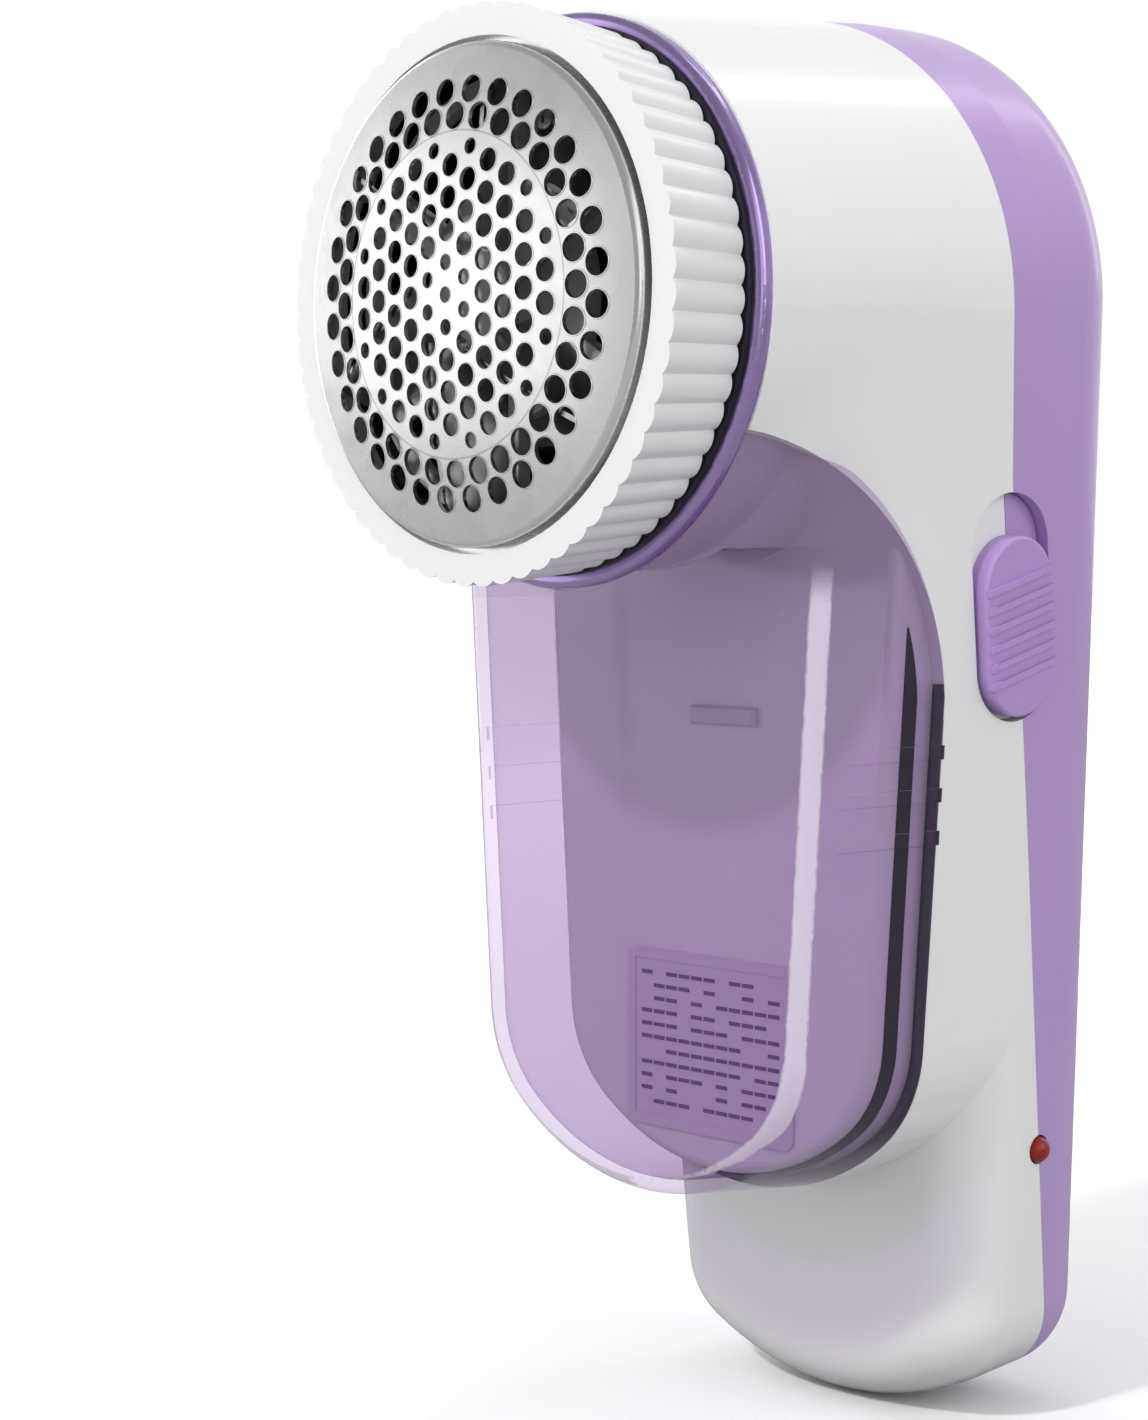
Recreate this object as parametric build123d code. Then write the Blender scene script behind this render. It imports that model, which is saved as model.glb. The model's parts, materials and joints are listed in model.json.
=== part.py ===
from build123d import *
import math
import os

# Fabric shaver, millimetres. The head frame has its origin at the centre of the foil's
# outermost ring of holes: +X to the switch side, +Y from the foil to the back, +Z up.
# The body frame is the head frame turned by BODY_LEAN about the collar's middle, along X,
# because the handle leans back a little from the shaving head. place() moves finished pieces to the part's own
# frame, whose origin is at the middle of the foot of the handle.

# ---- driving sizes: shaving foil ----
FOIL_R = 25.4            # visible disc radius
FOIL_T = 0.4             # sheet thickness
FOIL_CROWN = 1.77        # rise of the dome inside the outer ring of holes
FOIL_SKIRT = 2.3         # height of the drawn edge
OUTER_RING_R = 20.5      # first ring of holes
SECOND_RING_R = 17.9     # second ring of holes
RING_HOLES = 32
RING_HOLE_D = 2.7
LATTICE_PITCH = 3.24
LATTICE_HOLE_D = 2.3
SMALL_HOLE_D = 1.6
LATTICE_R = 15.4         # reach of the lattice of holes
SMALL_CORE_R = 4.0       # inside this the lattice holes are small
LATTICE_EDGE = 1.0       # the outermost lattice holes are small too

# ---- knurled lock ring ----
RING_FACE_Y = 1.9
RING_REAR_Y = 12.3
RING_FRONT_R = 29.3
RING_REAR_R = 28.15
RING_LIP_T = 1.3
RING_WALL = 1.5
FOIL_GAP = 0.6           # open groove between foil and ring
LOBES = 60
LOBE_DEPTH = 0.5
LOCK_TURN = 25.0         # degrees to unlock
CLAMP_L = 2.0

# ---- head collar ----
SEAL_T = 0.5
SEAL_R = 28.3
TRIM_T = 1.6
TRIM_R = 29.55
TRIM_ROUND = 0.7
NECK_WALL = 2.0
NECK_FRONT_Y = 6.2
CHAMBER_PLATE_T = 1.8
LUG_COUNT = 3
LUG_ARC = 14.0           # degrees
LUG_T = 1.6
LUG_REACH = 1.2
LUG_Y = 8.2

# ---- cutter ----
CUTTER_GAP = 1.2         # rim of the cutter to the chamber wall
BLADES = 6
BLADE_T = 0.5
BLADE_TILT = 28.0        # degrees
BLADE_CLEAR = 0.3        # blade edge to the foil
BLADE_INNER_R = 4.6
CARRIER_Y = 6.4          # front face of the carrier's plate
CARRIER_T = 1.6
CARRIER_RIM = 1.7
CARRIER_HUB_R = 4.6
CARRIER_DISC_R = 12.5
HEX_FLATS = 5.6
ARM_W = 3.6
HUB_FRONT_Y = 2.6
HUB_REAR_Y = 11.4
DRIVE_FRONT_Y = 6.6
SHAFT_FRONT_Y = 7.2

# ---- motor ----
MOTOR_R = 12.2
MOTOR_L = 30.0
MOTOR_WALL = 0.8
MOTOR_BOSS_R = 3.6
MOTOR_BOSS_L = 2.2
SHAFT_R = 1.0
MAGNET_T = 1.6
ROTOR_L_RATIO = 0.6      # rotor length over motor length
AIR_GAP = 0.5
CAP_T = 2.4
BUSH_R = 2.6
BUSH_L = 2.4
CAN_FRONT_T = 1.2
ROTOR_CLEAR = 3.9        # motor's front face to its rotor
MAGNET_ARC = 120.0       # degrees
POLES = 5
COMMUTATOR_R = 3.0
COMMUTATOR_L = 2.6
SLEEVE_R = 13.9
SLEEVE_REACH = 9.5       # sleeve starts this far before the motor's rear
SLEEVE_L = 5.4
RIB_T = 2.0

# ---- housing ----
BODY_LEAN = 2.8          # degrees
BODY_R = 31.2            # head end radius at the widest plane
WIDEST_Y = 55.0
BODY_TAPER = 2.0         # degrees of draft, both ways from the widest plane
SIDE_SLOPE = 0.07        # half-width lost per millimetre of height
HANDLE_FOOT_Z = -124.8
FOOT_R = 38.0
FOOT_CORNER_R = 10.0
HANDLE_FRONT_Y = 46.6
HANDLE_EDGE_R = 7.3
BACK_Y = 70.5
BACK_EDGE_R = 9.0
SEAM_Y = 49.5            # where the seam crosses the body's axis
SEAM_LEAN_UP = 0.035     # seam's run to the back per millimetre of drop, body frame
SEAM_LEAN = 0.11         # and the same below its bend
SEAM_BEND_Z = -20.0
WALL = 2.0
FLANK_ANGLE = 28.0       # degrees below the axis where the pedestal leaves the barrel, at the collar
FLANK_STEPS = 4

# ---- lint bin and its seat ----
BIN_STEP = 8.6           # bin's front face behind the collar's front
BIN_EDGE_R = 4.6
BIN_WALL = 1.5
BIN_FOOT_Z = -96.5
BIN_FOOT_RISE = 1.2      # extra draft of the foot, from the seat to the front face
BIN_FOOT_R = 31.0
BIN_CORNER_R = 16.0
SEAT_Y = 42.4            # rear rim of the bin
SPIGOT_L = 6.2           # the bin slips this far over its spigot
SPIGOT_EDGE_R = 1.2
SPIGOT_TOP_Z = -8.0
SEAL_GAP = 0.1
GASKET_T = 1.9
GASKET_W = 1.0
GASKET_LIP = 2.0         # spigot's rounded lip in front of the gasket
CATCH_X0 = -2.7
CATCH_X1 = 7.0
CATCH_Z = -42.6
CATCH_W = 2.1
CATCH_H = 0.8
PLATE_W = 25.6
PLATE_H = 20.0
PLATE_FOOT_Z = -90.2
PLATE_T = 0.4
BIN_NECK = 0.93          # hollow between collar and cup front, over BIN_STEP
PART_GAP = 0.3           # open joint between the bin and the housing
BIN_TOP = 0.452          # drop of the bin's top edge at the collar, over BODY_R
BIN_EDGE = 1.314         # drop to where its edge turns straight down, over BODY_R
BIN_EDGE_MID = 0.68      # fullness of the curve between them
BIN_TRAVEL = 70.0
GRIP_RIBS = 3
GRIP_PITCH = 4.5
GRIP_TOP_Z = -46.6
GRIP_L = 15.0
GRIP_H = 0.45
GRIP_W = 1.5

# ---- lint path ----
CHUTE_HALF_W = 12.6
CHUTE_TOP_Z = -13.6
CHUTE_FRONT_Y = 17.4
CHUTE_MOUTH_Y = 26.4
CHUTE_WALL = 1.2

# ---- power slider ----
SLOT_Z = -33.4           # middle of the recess, body frame
SLOT_FORWARD = 0.8       # recess middle in front of the seam
SLOT_L = 24.6
SLOT_W = 12.2
SLOT_DEPTH = 2.0
SLIDER_L = 19.4
SLIDER_W = 11.2
SLIDER_PROUD = 1.1
SLIDER_TRAVEL = 4.2
SLIDER_RIBS = 6
SLIDER_RIB_PITCH = 2.0
SLIDER_RIB_H = 0.4
SLIDER_RIB_TILT = 6.0
STEM_W = 3.0
STEM_L = 5.0
PAD_T = 1.5
SLIDER_REST_Z = -2.0     # slider's middle below the middle of the recess
GUIDE_T = 0.7
STEM_X = -7.6            # end of the stem
LEVER_T = 2.0
LEVER_DIP = 3.0

# ---- electrics ----
CELL_R = 9.1
CELL_L = 65.0
CELL_TOP_Z = -40.2
CELL_SIDE_GAP = 0.5      # cell to the control board
CELL_OFF_SIDE = 7.6      # the side surface closes in this much by the cell's foot
CELL_Y = 58.9
FRONT_RIBS = (-61.2, -87.2)
REAR_RIBS = (-49.2, -98.2)
TAB_T = 0.3
BUTTON_H = 0.8
BOARD_X = -17.4          # inwards from the side surface
BOARD_T = 1.6
BOARD_W = 13.0
BOARD_TOP = 10.0         # above the middle of the recess
BOARD_L = 77.0
SWITCH_W = 7.0
SWITCH_L = 15.0
SWITCH_X = -9.8          # outer face of the switch
LED_DROP = -61.1         # below the middle of the recess, along the seam
LED_R = 1.5
LED_PROUD = 1.2
LED_L = 4.0
SOCKET_W = 9.0
SOCKET_T = 3.2
SOCKET_L = 7.3
SOCKET_LIP = 0.4
SOCKET_Y = 64.4
SOCKET_FOOT_Z = -123.8
CHARGE_BOARD_T = 1.2
CHARGE_BOARD_W = 13.0
CHARGE_BOARD_L = 14.0
CHARGE_BOARD_Z = -119.4

# ---- fasteners ----
SCREW_R = 1.1
SCREW_HEAD_R = 2.2
SCREW_HEAD_T = 1.5
BOSS_R = 3.1
UPPER_SCREW = (15.6, 9.0)
LOWER_SCREW = (12.0, -112.7)
WELL_R = 3.5
SCREW_SEAT = 4.0         # screw heads this far behind the seam
SCREW_GRIP = 6.0         # and the tips this far in front of it
CHAMBER_BOSS_L = 5.0
CHAMBER_SCREW_R = 19.6
MOTOR_SCREW_R = 7.0

# ---- clearances ----
FIT = 0.15               # between pieces that are fixed together
TURN = 0.4               # round pieces that turn past each other
SHAFT_FIT = 0.05

# ---- sizes that follow from the ones above ----
SPHERE_R = (OUTER_RING_R ** 2 + FOIL_CROWN ** 2) / (2 * FOIL_CROWN)
FOIL_EDGE_Y = (FOIL_R ** 2 - OUTER_RING_R ** 2) / (2 * SPHERE_R)
MOUTH_R = FOIL_R + FOIL_GAP
FOIL_LIP_Y = RING_FACE_Y + RING_LIP_T
RING_BORE_R = RING_REAR_R - RING_WALL
NECK_R = RING_BORE_R - TURN
CHAMBER_R = NECK_R - NECK_WALL
CUTTER_R = CHAMBER_R - CUTTER_GAP
SEAL_Y = RING_REAR_Y + PART_GAP
TRIM_Y = SEAL_Y + SEAL_T
COLLAR_Y = TRIM_Y + TRIM_T
CHAMBER_PLATE_Y = COLLAR_Y - CHAMBER_PLATE_T
FRONT_WALL_T = WALL + 0.4
MOTOR_Y = COLLAR_Y + FRONT_WALL_T
ROTOR_Y = MOTOR_Y + ROTOR_CLEAR
ROTOR_L = ROTOR_L_RATIO * MOTOR_L
SLEEVE_Y = MOTOR_Y + MOTOR_L - SLEEVE_REACH
RIB_Y = SLEEVE_Y + 1.0
BIN_FRONT_Y = COLLAR_Y + BIN_STEP
BIN_NECK_R = BIN_NECK * BIN_STEP
BIN_TOP_Z = -BIN_TOP * BODY_R
BIN_EDGE_Z = -BIN_EDGE * BODY_R
FLANK_FOOT_Z = BIN_EDGE_Z - BIN_WALL - WALL
CELL_X = BODY_R + BOARD_X - CELL_R - CELL_SIDE_GAP - CELL_OFF_SIDE
CORE_INSET = BIN_WALL + PART_GAP
CHUTE_REAR_Y = SEAT_Y - SPIGOT_L + 1.0
CHARGE_BOARD_Y = SOCKET_Y + SOCKET_T / 2
LEAN = Pos(0, COLLAR_Y, 0) * Rot(BODY_LEAN, 0, 0) * Pos(0, -COLLAR_Y, 0)
TAPER = math.tan(math.radians(BODY_TAPER))
SEAT_RISE = (SEAT_Y - COLLAR_Y) * math.sin(math.radians(BODY_LEAN))


def cyl(r, y0, y1, x=0.0, z=0.0):
    """Solid cylinder along Y from y0 to y1."""
    return Pos(x, (y0 + y1) / 2, z) * Rot(90, 0, 0) * Cylinder(r, y1 - y0)


def tube(r_out, r_in, y0, y1, x=0.0, z=0.0):
    """Hollow cylinder along Y."""
    return cyl(r_out, y0, y1, x, z) - cyl(r_in, y0 - 1, y1 + 1, x, z)


def cone(r0, r1, y0, y1):
    """Solid cone about the Y axis, radius r0 at y0 and r1 at y1."""
    return Pos(0, (y0 + y1) / 2, 0) * Rot(-90, 0, 0) * Cone(r0, r1, y1 - y0)


def block(x0, x1, y0, y1, z0, z1):
    """Box between two corners."""
    return Pos((x0 + x1) / 2, (y0 + y1) / 2, (z0 + z1) / 2) * Box(x1 - x0, y1 - y0, z1 - z0)


def ring_points(count, r, start=0.0):
    """Points evenly spaced on a circle in the XZ plane."""
    turn = 2 * math.pi / count
    return [(r * math.cos(start + i * turn), r * math.sin(start + i * turn)) for i in range(count)]


def shield(head_r, slope, foot_z, foot_r, corner_r, y):
    """Outline across Y: a round head, straight sides that close in, and a rounded foot."""
    lean = math.atan(slope)
    touch = Vector(head_r * math.cos(lean), -head_r * math.sin(lean))
    z = foot_z
    for _ in range(40):
        x = head_r / math.cos(lean) + slope * z
        z = foot_z + foot_r - math.sqrt(foot_r ** 2 - x ** 2)
    lines = [
        ThreePointArc((-touch.X, touch.Y), (0, head_r), (touch.X, touch.Y)),
        Line((touch.X, touch.Y), (x, z)),
        ThreePointArc((x, z), (0, foot_z), (-x, z)),
        Line((-x, z), (-touch.X, touch.Y)),
    ]
    face = make_face(lines)
    face = fillet(face.vertices().sort_by(Axis.Y)[:2], corner_r)
    return Plane(origin=(0, y, 0), x_dir=(1, 0, 0), z_dir=(0, -1, 0)) * face


def handle_outline(inset):
    """Widest outline of the handle, body frame."""
    return shield(BODY_R - inset, SIDE_SLOPE, HANDLE_FOOT_Z + inset, FOOT_R - inset,
                  FOOT_CORNER_R - inset, WIDEST_Y)


def seat_outline(inset):
    """Outline of the pedestal that carries the bin, drawn at the widest plane."""
    drop = (WIDEST_Y - SEAT_Y) * TAPER - BIN_FOOT_Z + SEAT_RISE
    return shield(BODY_R - inset, SIDE_SLOPE, inset - drop, BIN_FOOT_R - inset,
                  BIN_CORNER_R - inset, WIDEST_Y)


def drafted(outline, reach, forward=True):
    """Outline pulled along Y with the body's draft."""
    return extrude(outline, amount=reach, dir=(0, -1 if forward else 1, 0), taper=BODY_TAPER)


def handle_form(inset):
    """Handle block with its rounded front and back edges, body frame."""
    outline = handle_outline(inset)
    front = drafted(outline, WIDEST_Y - HANDLE_FRONT_Y - inset)
    front = fillet(front.faces().sort_by(Axis.Y)[0].edges(), HANDLE_EDGE_R - inset)
    back = drafted(outline, BACK_Y - inset - WIDEST_Y, forward=False)
    back = fillet(back.faces().sort_by(Axis.Y)[-1].edges(), BACK_EDGE_R - inset)
    return front + back


def barrel_r(y, inset):
    """Radius of the head barrel at a place along the body's axis."""
    return BODY_R - inset - (WIDEST_Y - y) * TAPER


def barrel_form(inset, y0):
    """Head barrel from y0 to the widest plane, body frame."""
    return cone(barrel_r(y0, inset), barrel_r(WIDEST_Y, inset), y0, WIDEST_Y)


def flank_outline(inset, y):
    """Outline of the barrel ahead of the seat, whose sides run out into the round."""
    ahead = (SEAT_Y - y) / (SEAT_Y - COLLAR_Y)
    low = math.atan(SIDE_SLOPE)
    low += (math.radians(FLANK_ANGLE) - low) * ahead ** 2
    r = barrel_r(y, inset)
    x0, z0 = r * math.cos(low), -r * math.sin(low)
    z1 = FLANK_FOOT_Z
    x1 = r / math.cos(low) + z1 * math.tan(low)
    lines = [ThreePointArc((-x0, z0), (0, r), (x0, z0)), Line((x0, z0), (x1, z1)),
             Line((x1, z1), (-x1, z1)), Line((-x1, z1), (-x0, z0))]
    return Plane(origin=(0, y, 0), x_dir=(1, 0, 0), z_dir=(0, -1, 0)) * make_face(lines)


def flank_form(inset):
    """Barrel between the collar and the seat, body frame."""
    step = (SEAT_Y - COLLAR_Y + WALL) / FLANK_STEPS
    return loft([flank_outline(inset, SEAT_Y - i * step) for i in range(FLANK_STEPS + 1)])


def seat_form(inset):
    """Pedestal behind the bin, carried ahead of its seat below the flanks, body frame."""
    outline = seat_outline(inset)
    reach = WIDEST_Y - SEAT_Y
    low = block(-60, 60, 0, 90, -180, FLANK_FOOT_Z)
    return drafted(outline, reach) + (drafted(outline, reach + SPIGOT_L) & low)


def before(y):
    """Everything in front of a plane across the head's axis."""
    return block(-60, 60, -40, y, -180, 60)


def bin_reach(grow):
    """Space under the curved upper edge of the bin, in front of its seat, head frame."""
    edge_y = SEAT_Y + grow
    top_z = BIN_TOP_Z + grow
    mid = (COLLAR_Y + (edge_y - COLLAR_Y) * BIN_EDGE_MID,
           BIN_EDGE_Z + (top_z - BIN_EDGE_Z) * BIN_EDGE_MID)
    side = [
        Line((-20, -180), (edge_y, -180)),
        Line((edge_y, -180), (edge_y, BIN_EDGE_Z)),
        ThreePointArc((edge_y, BIN_EDGE_Z), mid, (COLLAR_Y, top_z)),
        Line((COLLAR_Y, top_z), (-20, top_z)),
        Line((-20, top_z), (-20, -180)),
    ]
    return extrude(Plane.YZ * make_face(side), amount=60, both=True)


def cup_outline(inset, y):
    """Outline of the bin's cup at a distance along the head's axis."""
    lean = math.radians(BODY_LEAN)
    seat_y = COLLAR_Y + (SEAT_Y - COLLAR_Y) * math.cos(lean)
    draft = (SEAT_Y - y) * TAPER
    head_r = BODY_R - inset - draft - (WIDEST_Y - seat_y) * TAPER - SIDE_SLOPE * SEAT_RISE
    rise = BIN_FOOT_RISE * (SEAT_Y - y) / (SEAT_Y - BIN_FRONT_Y)
    return shield(head_r, SIDE_SLOPE - TAPER * math.sin(lean), BIN_FOOT_Z + inset + draft + rise,
                  BIN_FOOT_R - inset - draft, BIN_CORNER_R - inset - draft, y)


def cup_form(inset, rear_y):
    """Outside of the bin's cup (or its inside, inset by the wall), head frame."""
    outline = cup_outline(inset, SEAT_Y)
    cup = loft([outline, cup_outline(inset, BIN_FRONT_Y + inset)], ruled=True)
    cup = fillet(cup.faces().sort_by(Axis.Y)[0].edges(), BIN_EDGE_R - inset * 0.8)
    if rear_y > SEAT_Y:
        cup += extrude(outline, amount=rear_y - SEAT_Y, dir=(0, 1, 0))
    return cup


def core_barrel(inset, y0, y1):
    """Part of the barrel that the bin's collar wraps, head frame."""
    return (LEAN * barrel_form(CORE_INSET + inset, 0)) & block(-60, 60, y0, y1, -60, 60)


def seam_side(front):
    """Everything on one side of the leaning seam, body frame."""
    fall = 180.0
    rise = 60.0
    y_far = 140.0 if not front else -40.0
    side = Polyline((seam_y(rise), rise), (seam_y(SEAM_BEND_Z), SEAM_BEND_Z),
                    (seam_y(-fall), -fall), (y_far, -fall), (y_far, rise), close=True)
    return extrude(Plane.YZ * make_face(side), amount=60, both=True)


def body_half_width(y, z):
    """Half width of the handle's side at a place, body frame."""
    return BODY_R / math.cos(math.atan(SIDE_SLOPE)) + SIDE_SLOPE * z - abs(WIDEST_Y - y) * TAPER


def seam_y(z):
    """Where the seam lies at a height, body frame."""
    bend = SEAM_BEND_Z if z < SEAM_BEND_Z else z
    return SEAM_Y - SEAM_LEAN_UP * bend - SEAM_LEAN * (z - bend)


def on_side(z):
    """Frame on the +X side at the seam: X outwards, Y to the back, Z up along the seam."""
    spot = Pos(body_half_width(seam_y(z), z), seam_y(z), z)
    lean = Rot(math.degrees(math.atan(SEAM_LEAN)), 0, 0)
    return LEAN * spot * lean * Rot(0, math.degrees(math.atan(SIDE_SLOPE)), 0)


def sector(r_in, r_out, y0, y1, start, arc):
    """Part of a tube about Y, from a start angle (degrees about +Y) over an arc."""
    profile = make_face(Polyline((r_in, y0), (r_out, y0), (r_out, y1), (r_in, y1), close=True))
    return Rot(0, start, 0) * revolve(profile, Axis.Y, arc)


def stadium(width, length, x0, x1, z=0.0):
    """Rounded-end bar lying in the YZ plane from x0 to x1."""
    outline = Plane.YZ * Pos(0, z) * SlotOverall(length, width, rotation=90)
    return Pos(x0, 0, 0) * extrude(outline, amount=x1 - x0, dir=(1, 0, 0))


# ---- shaving head ----
def make_shaving_foil():
    """Domed steel sheet with a drawn skirt, a lip behind the ring and its holes."""
    def dome(r, inner):
        radius = SPHERE_R - inner
        return SPHERE_R - FOIL_CROWN - math.sqrt(radius ** 2 - r ** 2)

    half = FOIL_R / 2
    wall_r = FOIL_R - FOIL_T
    lip_r = RING_BORE_R - FIT
    outer = ThreePointArc((0, dome(0, 0)), (half, dome(half, 0)), (FOIL_R, dome(FOIL_R, 0)))
    inner = ThreePointArc((wall_r, dome(wall_r, FOIL_T)), (half, dome(half, FOIL_T)),
                          (0, dome(0, FOIL_T)))
    skirt = Polyline(outer @ 1, (FOIL_R, FOIL_LIP_Y), (lip_r, FOIL_LIP_Y),
                     (lip_r, FOIL_LIP_Y + FOIL_T), (wall_r, FOIL_LIP_Y + FOIL_T), inner @ 0)
    profile = make_face([outer, skirt, inner, Line(inner @ 1, outer @ 0)])
    rim = [v for v in profile.vertices() if abs(v.X - FOIL_R) < 0.01 and v.Y < FOIL_LIP_Y - 0.1]
    inside = [v for v in profile.vertices() if abs(v.X - wall_r) < 0.01 and v.Y < FOIL_LIP_Y - 0.1]
    profile = fillet(rim, FOIL_T * 2)
    inside = [v for v in profile.vertices() if abs(v.X - wall_r) < 0.01 and v.Y < FOIL_LIP_Y - 0.1]
    profile = fillet(inside, FOIL_T)
    return revolve(profile, Axis.Y, 360) - foil_holes()


def foil_holes():
    """Two outer rings of holes and a lattice with small holes in the middle and at its edge."""
    step = math.pi / RING_HOLES
    tools = []
    for r, start in ((OUTER_RING_R, step), (SECOND_RING_R, 0)):
        for x, z in ring_points(RING_HOLES, r, start):
            tools.append(cyl(RING_HOLE_D / 2, -4, 4, x, z))
    columns = int(LATTICE_R / (LATTICE_PITCH * math.cos(math.radians(30)))) + 1
    rows = int(LATTICE_R / LATTICE_PITCH) + 1
    for i in range(-columns, columns + 1):
        for j in range(-rows, rows + 1):
            x = i * LATTICE_PITCH * math.cos(math.radians(30))
            z = (j + (i % 2) / 2) * LATTICE_PITCH
            r = math.hypot(x, z)
            if r > LATTICE_R:
                continue
            small = r < SMALL_CORE_R or r > LATTICE_R - LATTICE_EDGE
            tools.append(cyl((SMALL_HOLE_D if small else LATTICE_HOLE_D) / 2, -4, 4, x, z))
    return tools


def make_foil_clamp_ring():
    """Ring that holds the foil's lip against the lock ring."""
    y = FOIL_LIP_Y + FOIL_T
    return tube(RING_BORE_R - FIT, FOIL_R - FOIL_T + FIT, y, y + CLAMP_L)


def lobed(r, y):
    """Closed outline of convex lobes with sharp valleys."""
    valley = ring_points(LOBES, r - LOBE_DEPTH)
    crest = ring_points(LOBES, r, math.pi / LOBES)
    arcs = [ThreePointArc((*valley[i], 0), (*crest[i], 0), (*valley[(i + 1) % LOBES], 0))
            for i in range(LOBES)]
    return Plane(origin=(0, y, 0), x_dir=(1, 0, 0), z_dir=(0, -1, 0)) * make_face(arcs)


def lug_starts():
    """Start angles of the bayonet lugs, degrees about +Y."""
    return [i * 360 / LUG_COUNT - LUG_ARC / 2 for i in range(LUG_COUNT)]


def make_lock_ring():
    """Knurled ring that holds the foil and locks on the neck."""
    ring = loft([lobed(RING_FRONT_R, RING_FACE_Y), lobed(RING_REAR_R, RING_REAR_Y)], ruled=True)
    ring -= cyl(MOUTH_R, RING_FACE_Y - 1, FOIL_LIP_Y + 1)
    ring -= cyl(RING_BORE_R, FOIL_LIP_Y, RING_REAR_Y + 1)
    for start in lug_starts():
        ring += sector(RING_BORE_R - LUG_REACH, RING_BORE_R + 0.4, LUG_Y, LUG_Y + LUG_T,
                       start, LUG_ARC)
    return ring


def make_cutter_chamber():
    """Neck with bayonet grooves and a back plate with the lint window."""
    neck = tube(NECK_R, CHAMBER_R, NECK_FRONT_Y, COLLAR_Y)
    neck += cyl(NECK_R - 0.5, CHAMBER_PLATE_Y, COLLAR_Y)
    floor_r = RING_BORE_R - LUG_REACH - TURN
    slack = 1.5
    for start in lug_starts():
        neck -= sector(floor_r, NECK_R + 1, LUG_Y - TURN, LUG_Y + LUG_T + TURN,
                       start - LOCK_TURN - slack, LUG_ARC + LOCK_TURN + 2 * slack)
        neck -= sector(floor_r, NECK_R + 1, NECK_FRONT_Y - 1, LUG_Y + LUG_T + TURN,
                       start - LOCK_TURN - slack, LUG_ARC + 2 * slack)
    neck -= cyl(SHAFT_R + 2, CHAMBER_PLATE_Y - 1, COLLAR_Y + 1)
    neck -= lint_window(CHAMBER_PLATE_Y - 1, COLLAR_Y + 1)
    for x, z in chamber_screw_places():
        neck -= cyl(SCREW_R + SHAFT_FIT, CHAMBER_PLATE_Y - 1, COLLAR_Y + 1, x, z)
    return neck


def lint_window(y0, y1):
    """Opening through which the lint leaves the cutter chamber."""
    half_w = CHUTE_HALF_W - CHUTE_WALL
    window = block(-half_w, half_w, y0, y1, -CHAMBER_R, CHUTE_TOP_Z - CHUTE_WALL)
    return window & cyl(CHAMBER_R - 0.8, y0 - 1, y1 + 1)


def chamber_screw_places():
    """Three screws, one of them at the top."""
    return ring_points(3, CHAMBER_SCREW_R, math.pi / 2)


def screw(x, y, z, length):
    """Pan-head screw along +Y with the underside of its head at y."""
    head = cyl(SCREW_HEAD_R, y - SCREW_HEAD_T, y, x, z)
    head = fillet(head.faces().sort_by(Axis.Y)[0].edges(), 0.5)
    socket = block(x - 1.3, x + 1.3, y - 3, y - 0.8, z - 0.25, z + 0.25)
    socket += block(x - 0.25, x + 0.25, y - 3, y - 0.8, z - 1.3, z + 1.3)
    return head - socket + cyl(SCREW_R, y, y + length, x, z)


def make_seal_ring():
    """Thin dark gasket behind the lock ring."""
    return tube(SEAL_R, NECK_R + FIT, SEAL_Y, TRIM_Y)


def make_trim_ring():
    """Decorative ring in front of the housing."""
    ring = cyl(TRIM_R, TRIM_Y, COLLAR_Y)
    ring = fillet(ring.faces().sort_by(Axis.Y)[0].edges(), TRIM_ROUND)
    return ring - cyl(NECK_R + FIT, TRIM_Y - 1, COLLAR_Y + 1)


# ---- cutter ----
def make_cutter_carrier():
    """Wheel with six arms that carries the blades on the driving hub."""
    rear = CARRIER_Y + CARRIER_T
    wheel = tube(CUTTER_R, CUTTER_R - CARRIER_RIM, CARRIER_Y, rear)
    wheel += cyl(CARRIER_DISC_R, CARRIER_Y, rear)
    wheel += cyl(CARRIER_HUB_R, HUB_FRONT_Y, HUB_REAR_Y)
    for i in range(BLADES):
        arm = block(CARRIER_HUB_R, CUTTER_R - 0.5, CARRIER_Y, rear, -ARM_W / 2, ARM_W / 2)
        wheel += Rot(0, blade_turn(i), 0) * arm
    bore = extrude(Plane.XZ * RegularPolygon(HEX_FLATS / 2 + FIT / 2, 6, major_radius=False),
                   amount=-(HUB_REAR_Y + 1))
    return wheel - (bore & block(-10, 10, DRIVE_FRONT_Y - FIT, HUB_REAR_Y + 1, -10, 10))


def blade_turn(i):
    """Angle of each blade about +Y."""
    return 30 + i * 360 / BLADES


def make_cutter_blade(i):
    """Steel blade standing on an arm, ground to follow the dome."""
    blade = block(BLADE_INNER_R, CUTTER_R - 0.6, -12, 12, -BLADE_T / 2, BLADE_T / 2)
    blade = Pos(0, CARRIER_Y, 0) * Rot(BLADE_TILT, 0, 0) * blade
    reach = SPHERE_R - FOIL_T - BLADE_CLEAR
    follow = Pos(0, SPHERE_R - FOIL_CROWN, 0) * Sphere(reach)
    blade = Rot(0, blade_turn(i), 0) * blade
    return blade & follow & cyl(CUTTER_R - 0.7, -12, CARRIER_Y)


def make_drive_hub():
    """Hexagonal driver pressed on the motor shaft."""
    hexagon = extrude(Plane.XZ * RegularPolygon(HEX_FLATS / 2, 6, major_radius=False),
                      amount=-(HUB_REAR_Y + 1))
    hub = hexagon & block(-10, 10, DRIVE_FRONT_Y, HUB_REAR_Y, -10, 10)
    hub += cyl(CARRIER_HUB_R, HUB_REAR_Y, CHAMBER_PLATE_Y - TURN)
    return hub - cyl(SHAFT_R, SHAFT_FRONT_Y, CHAMBER_PLATE_Y)


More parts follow.
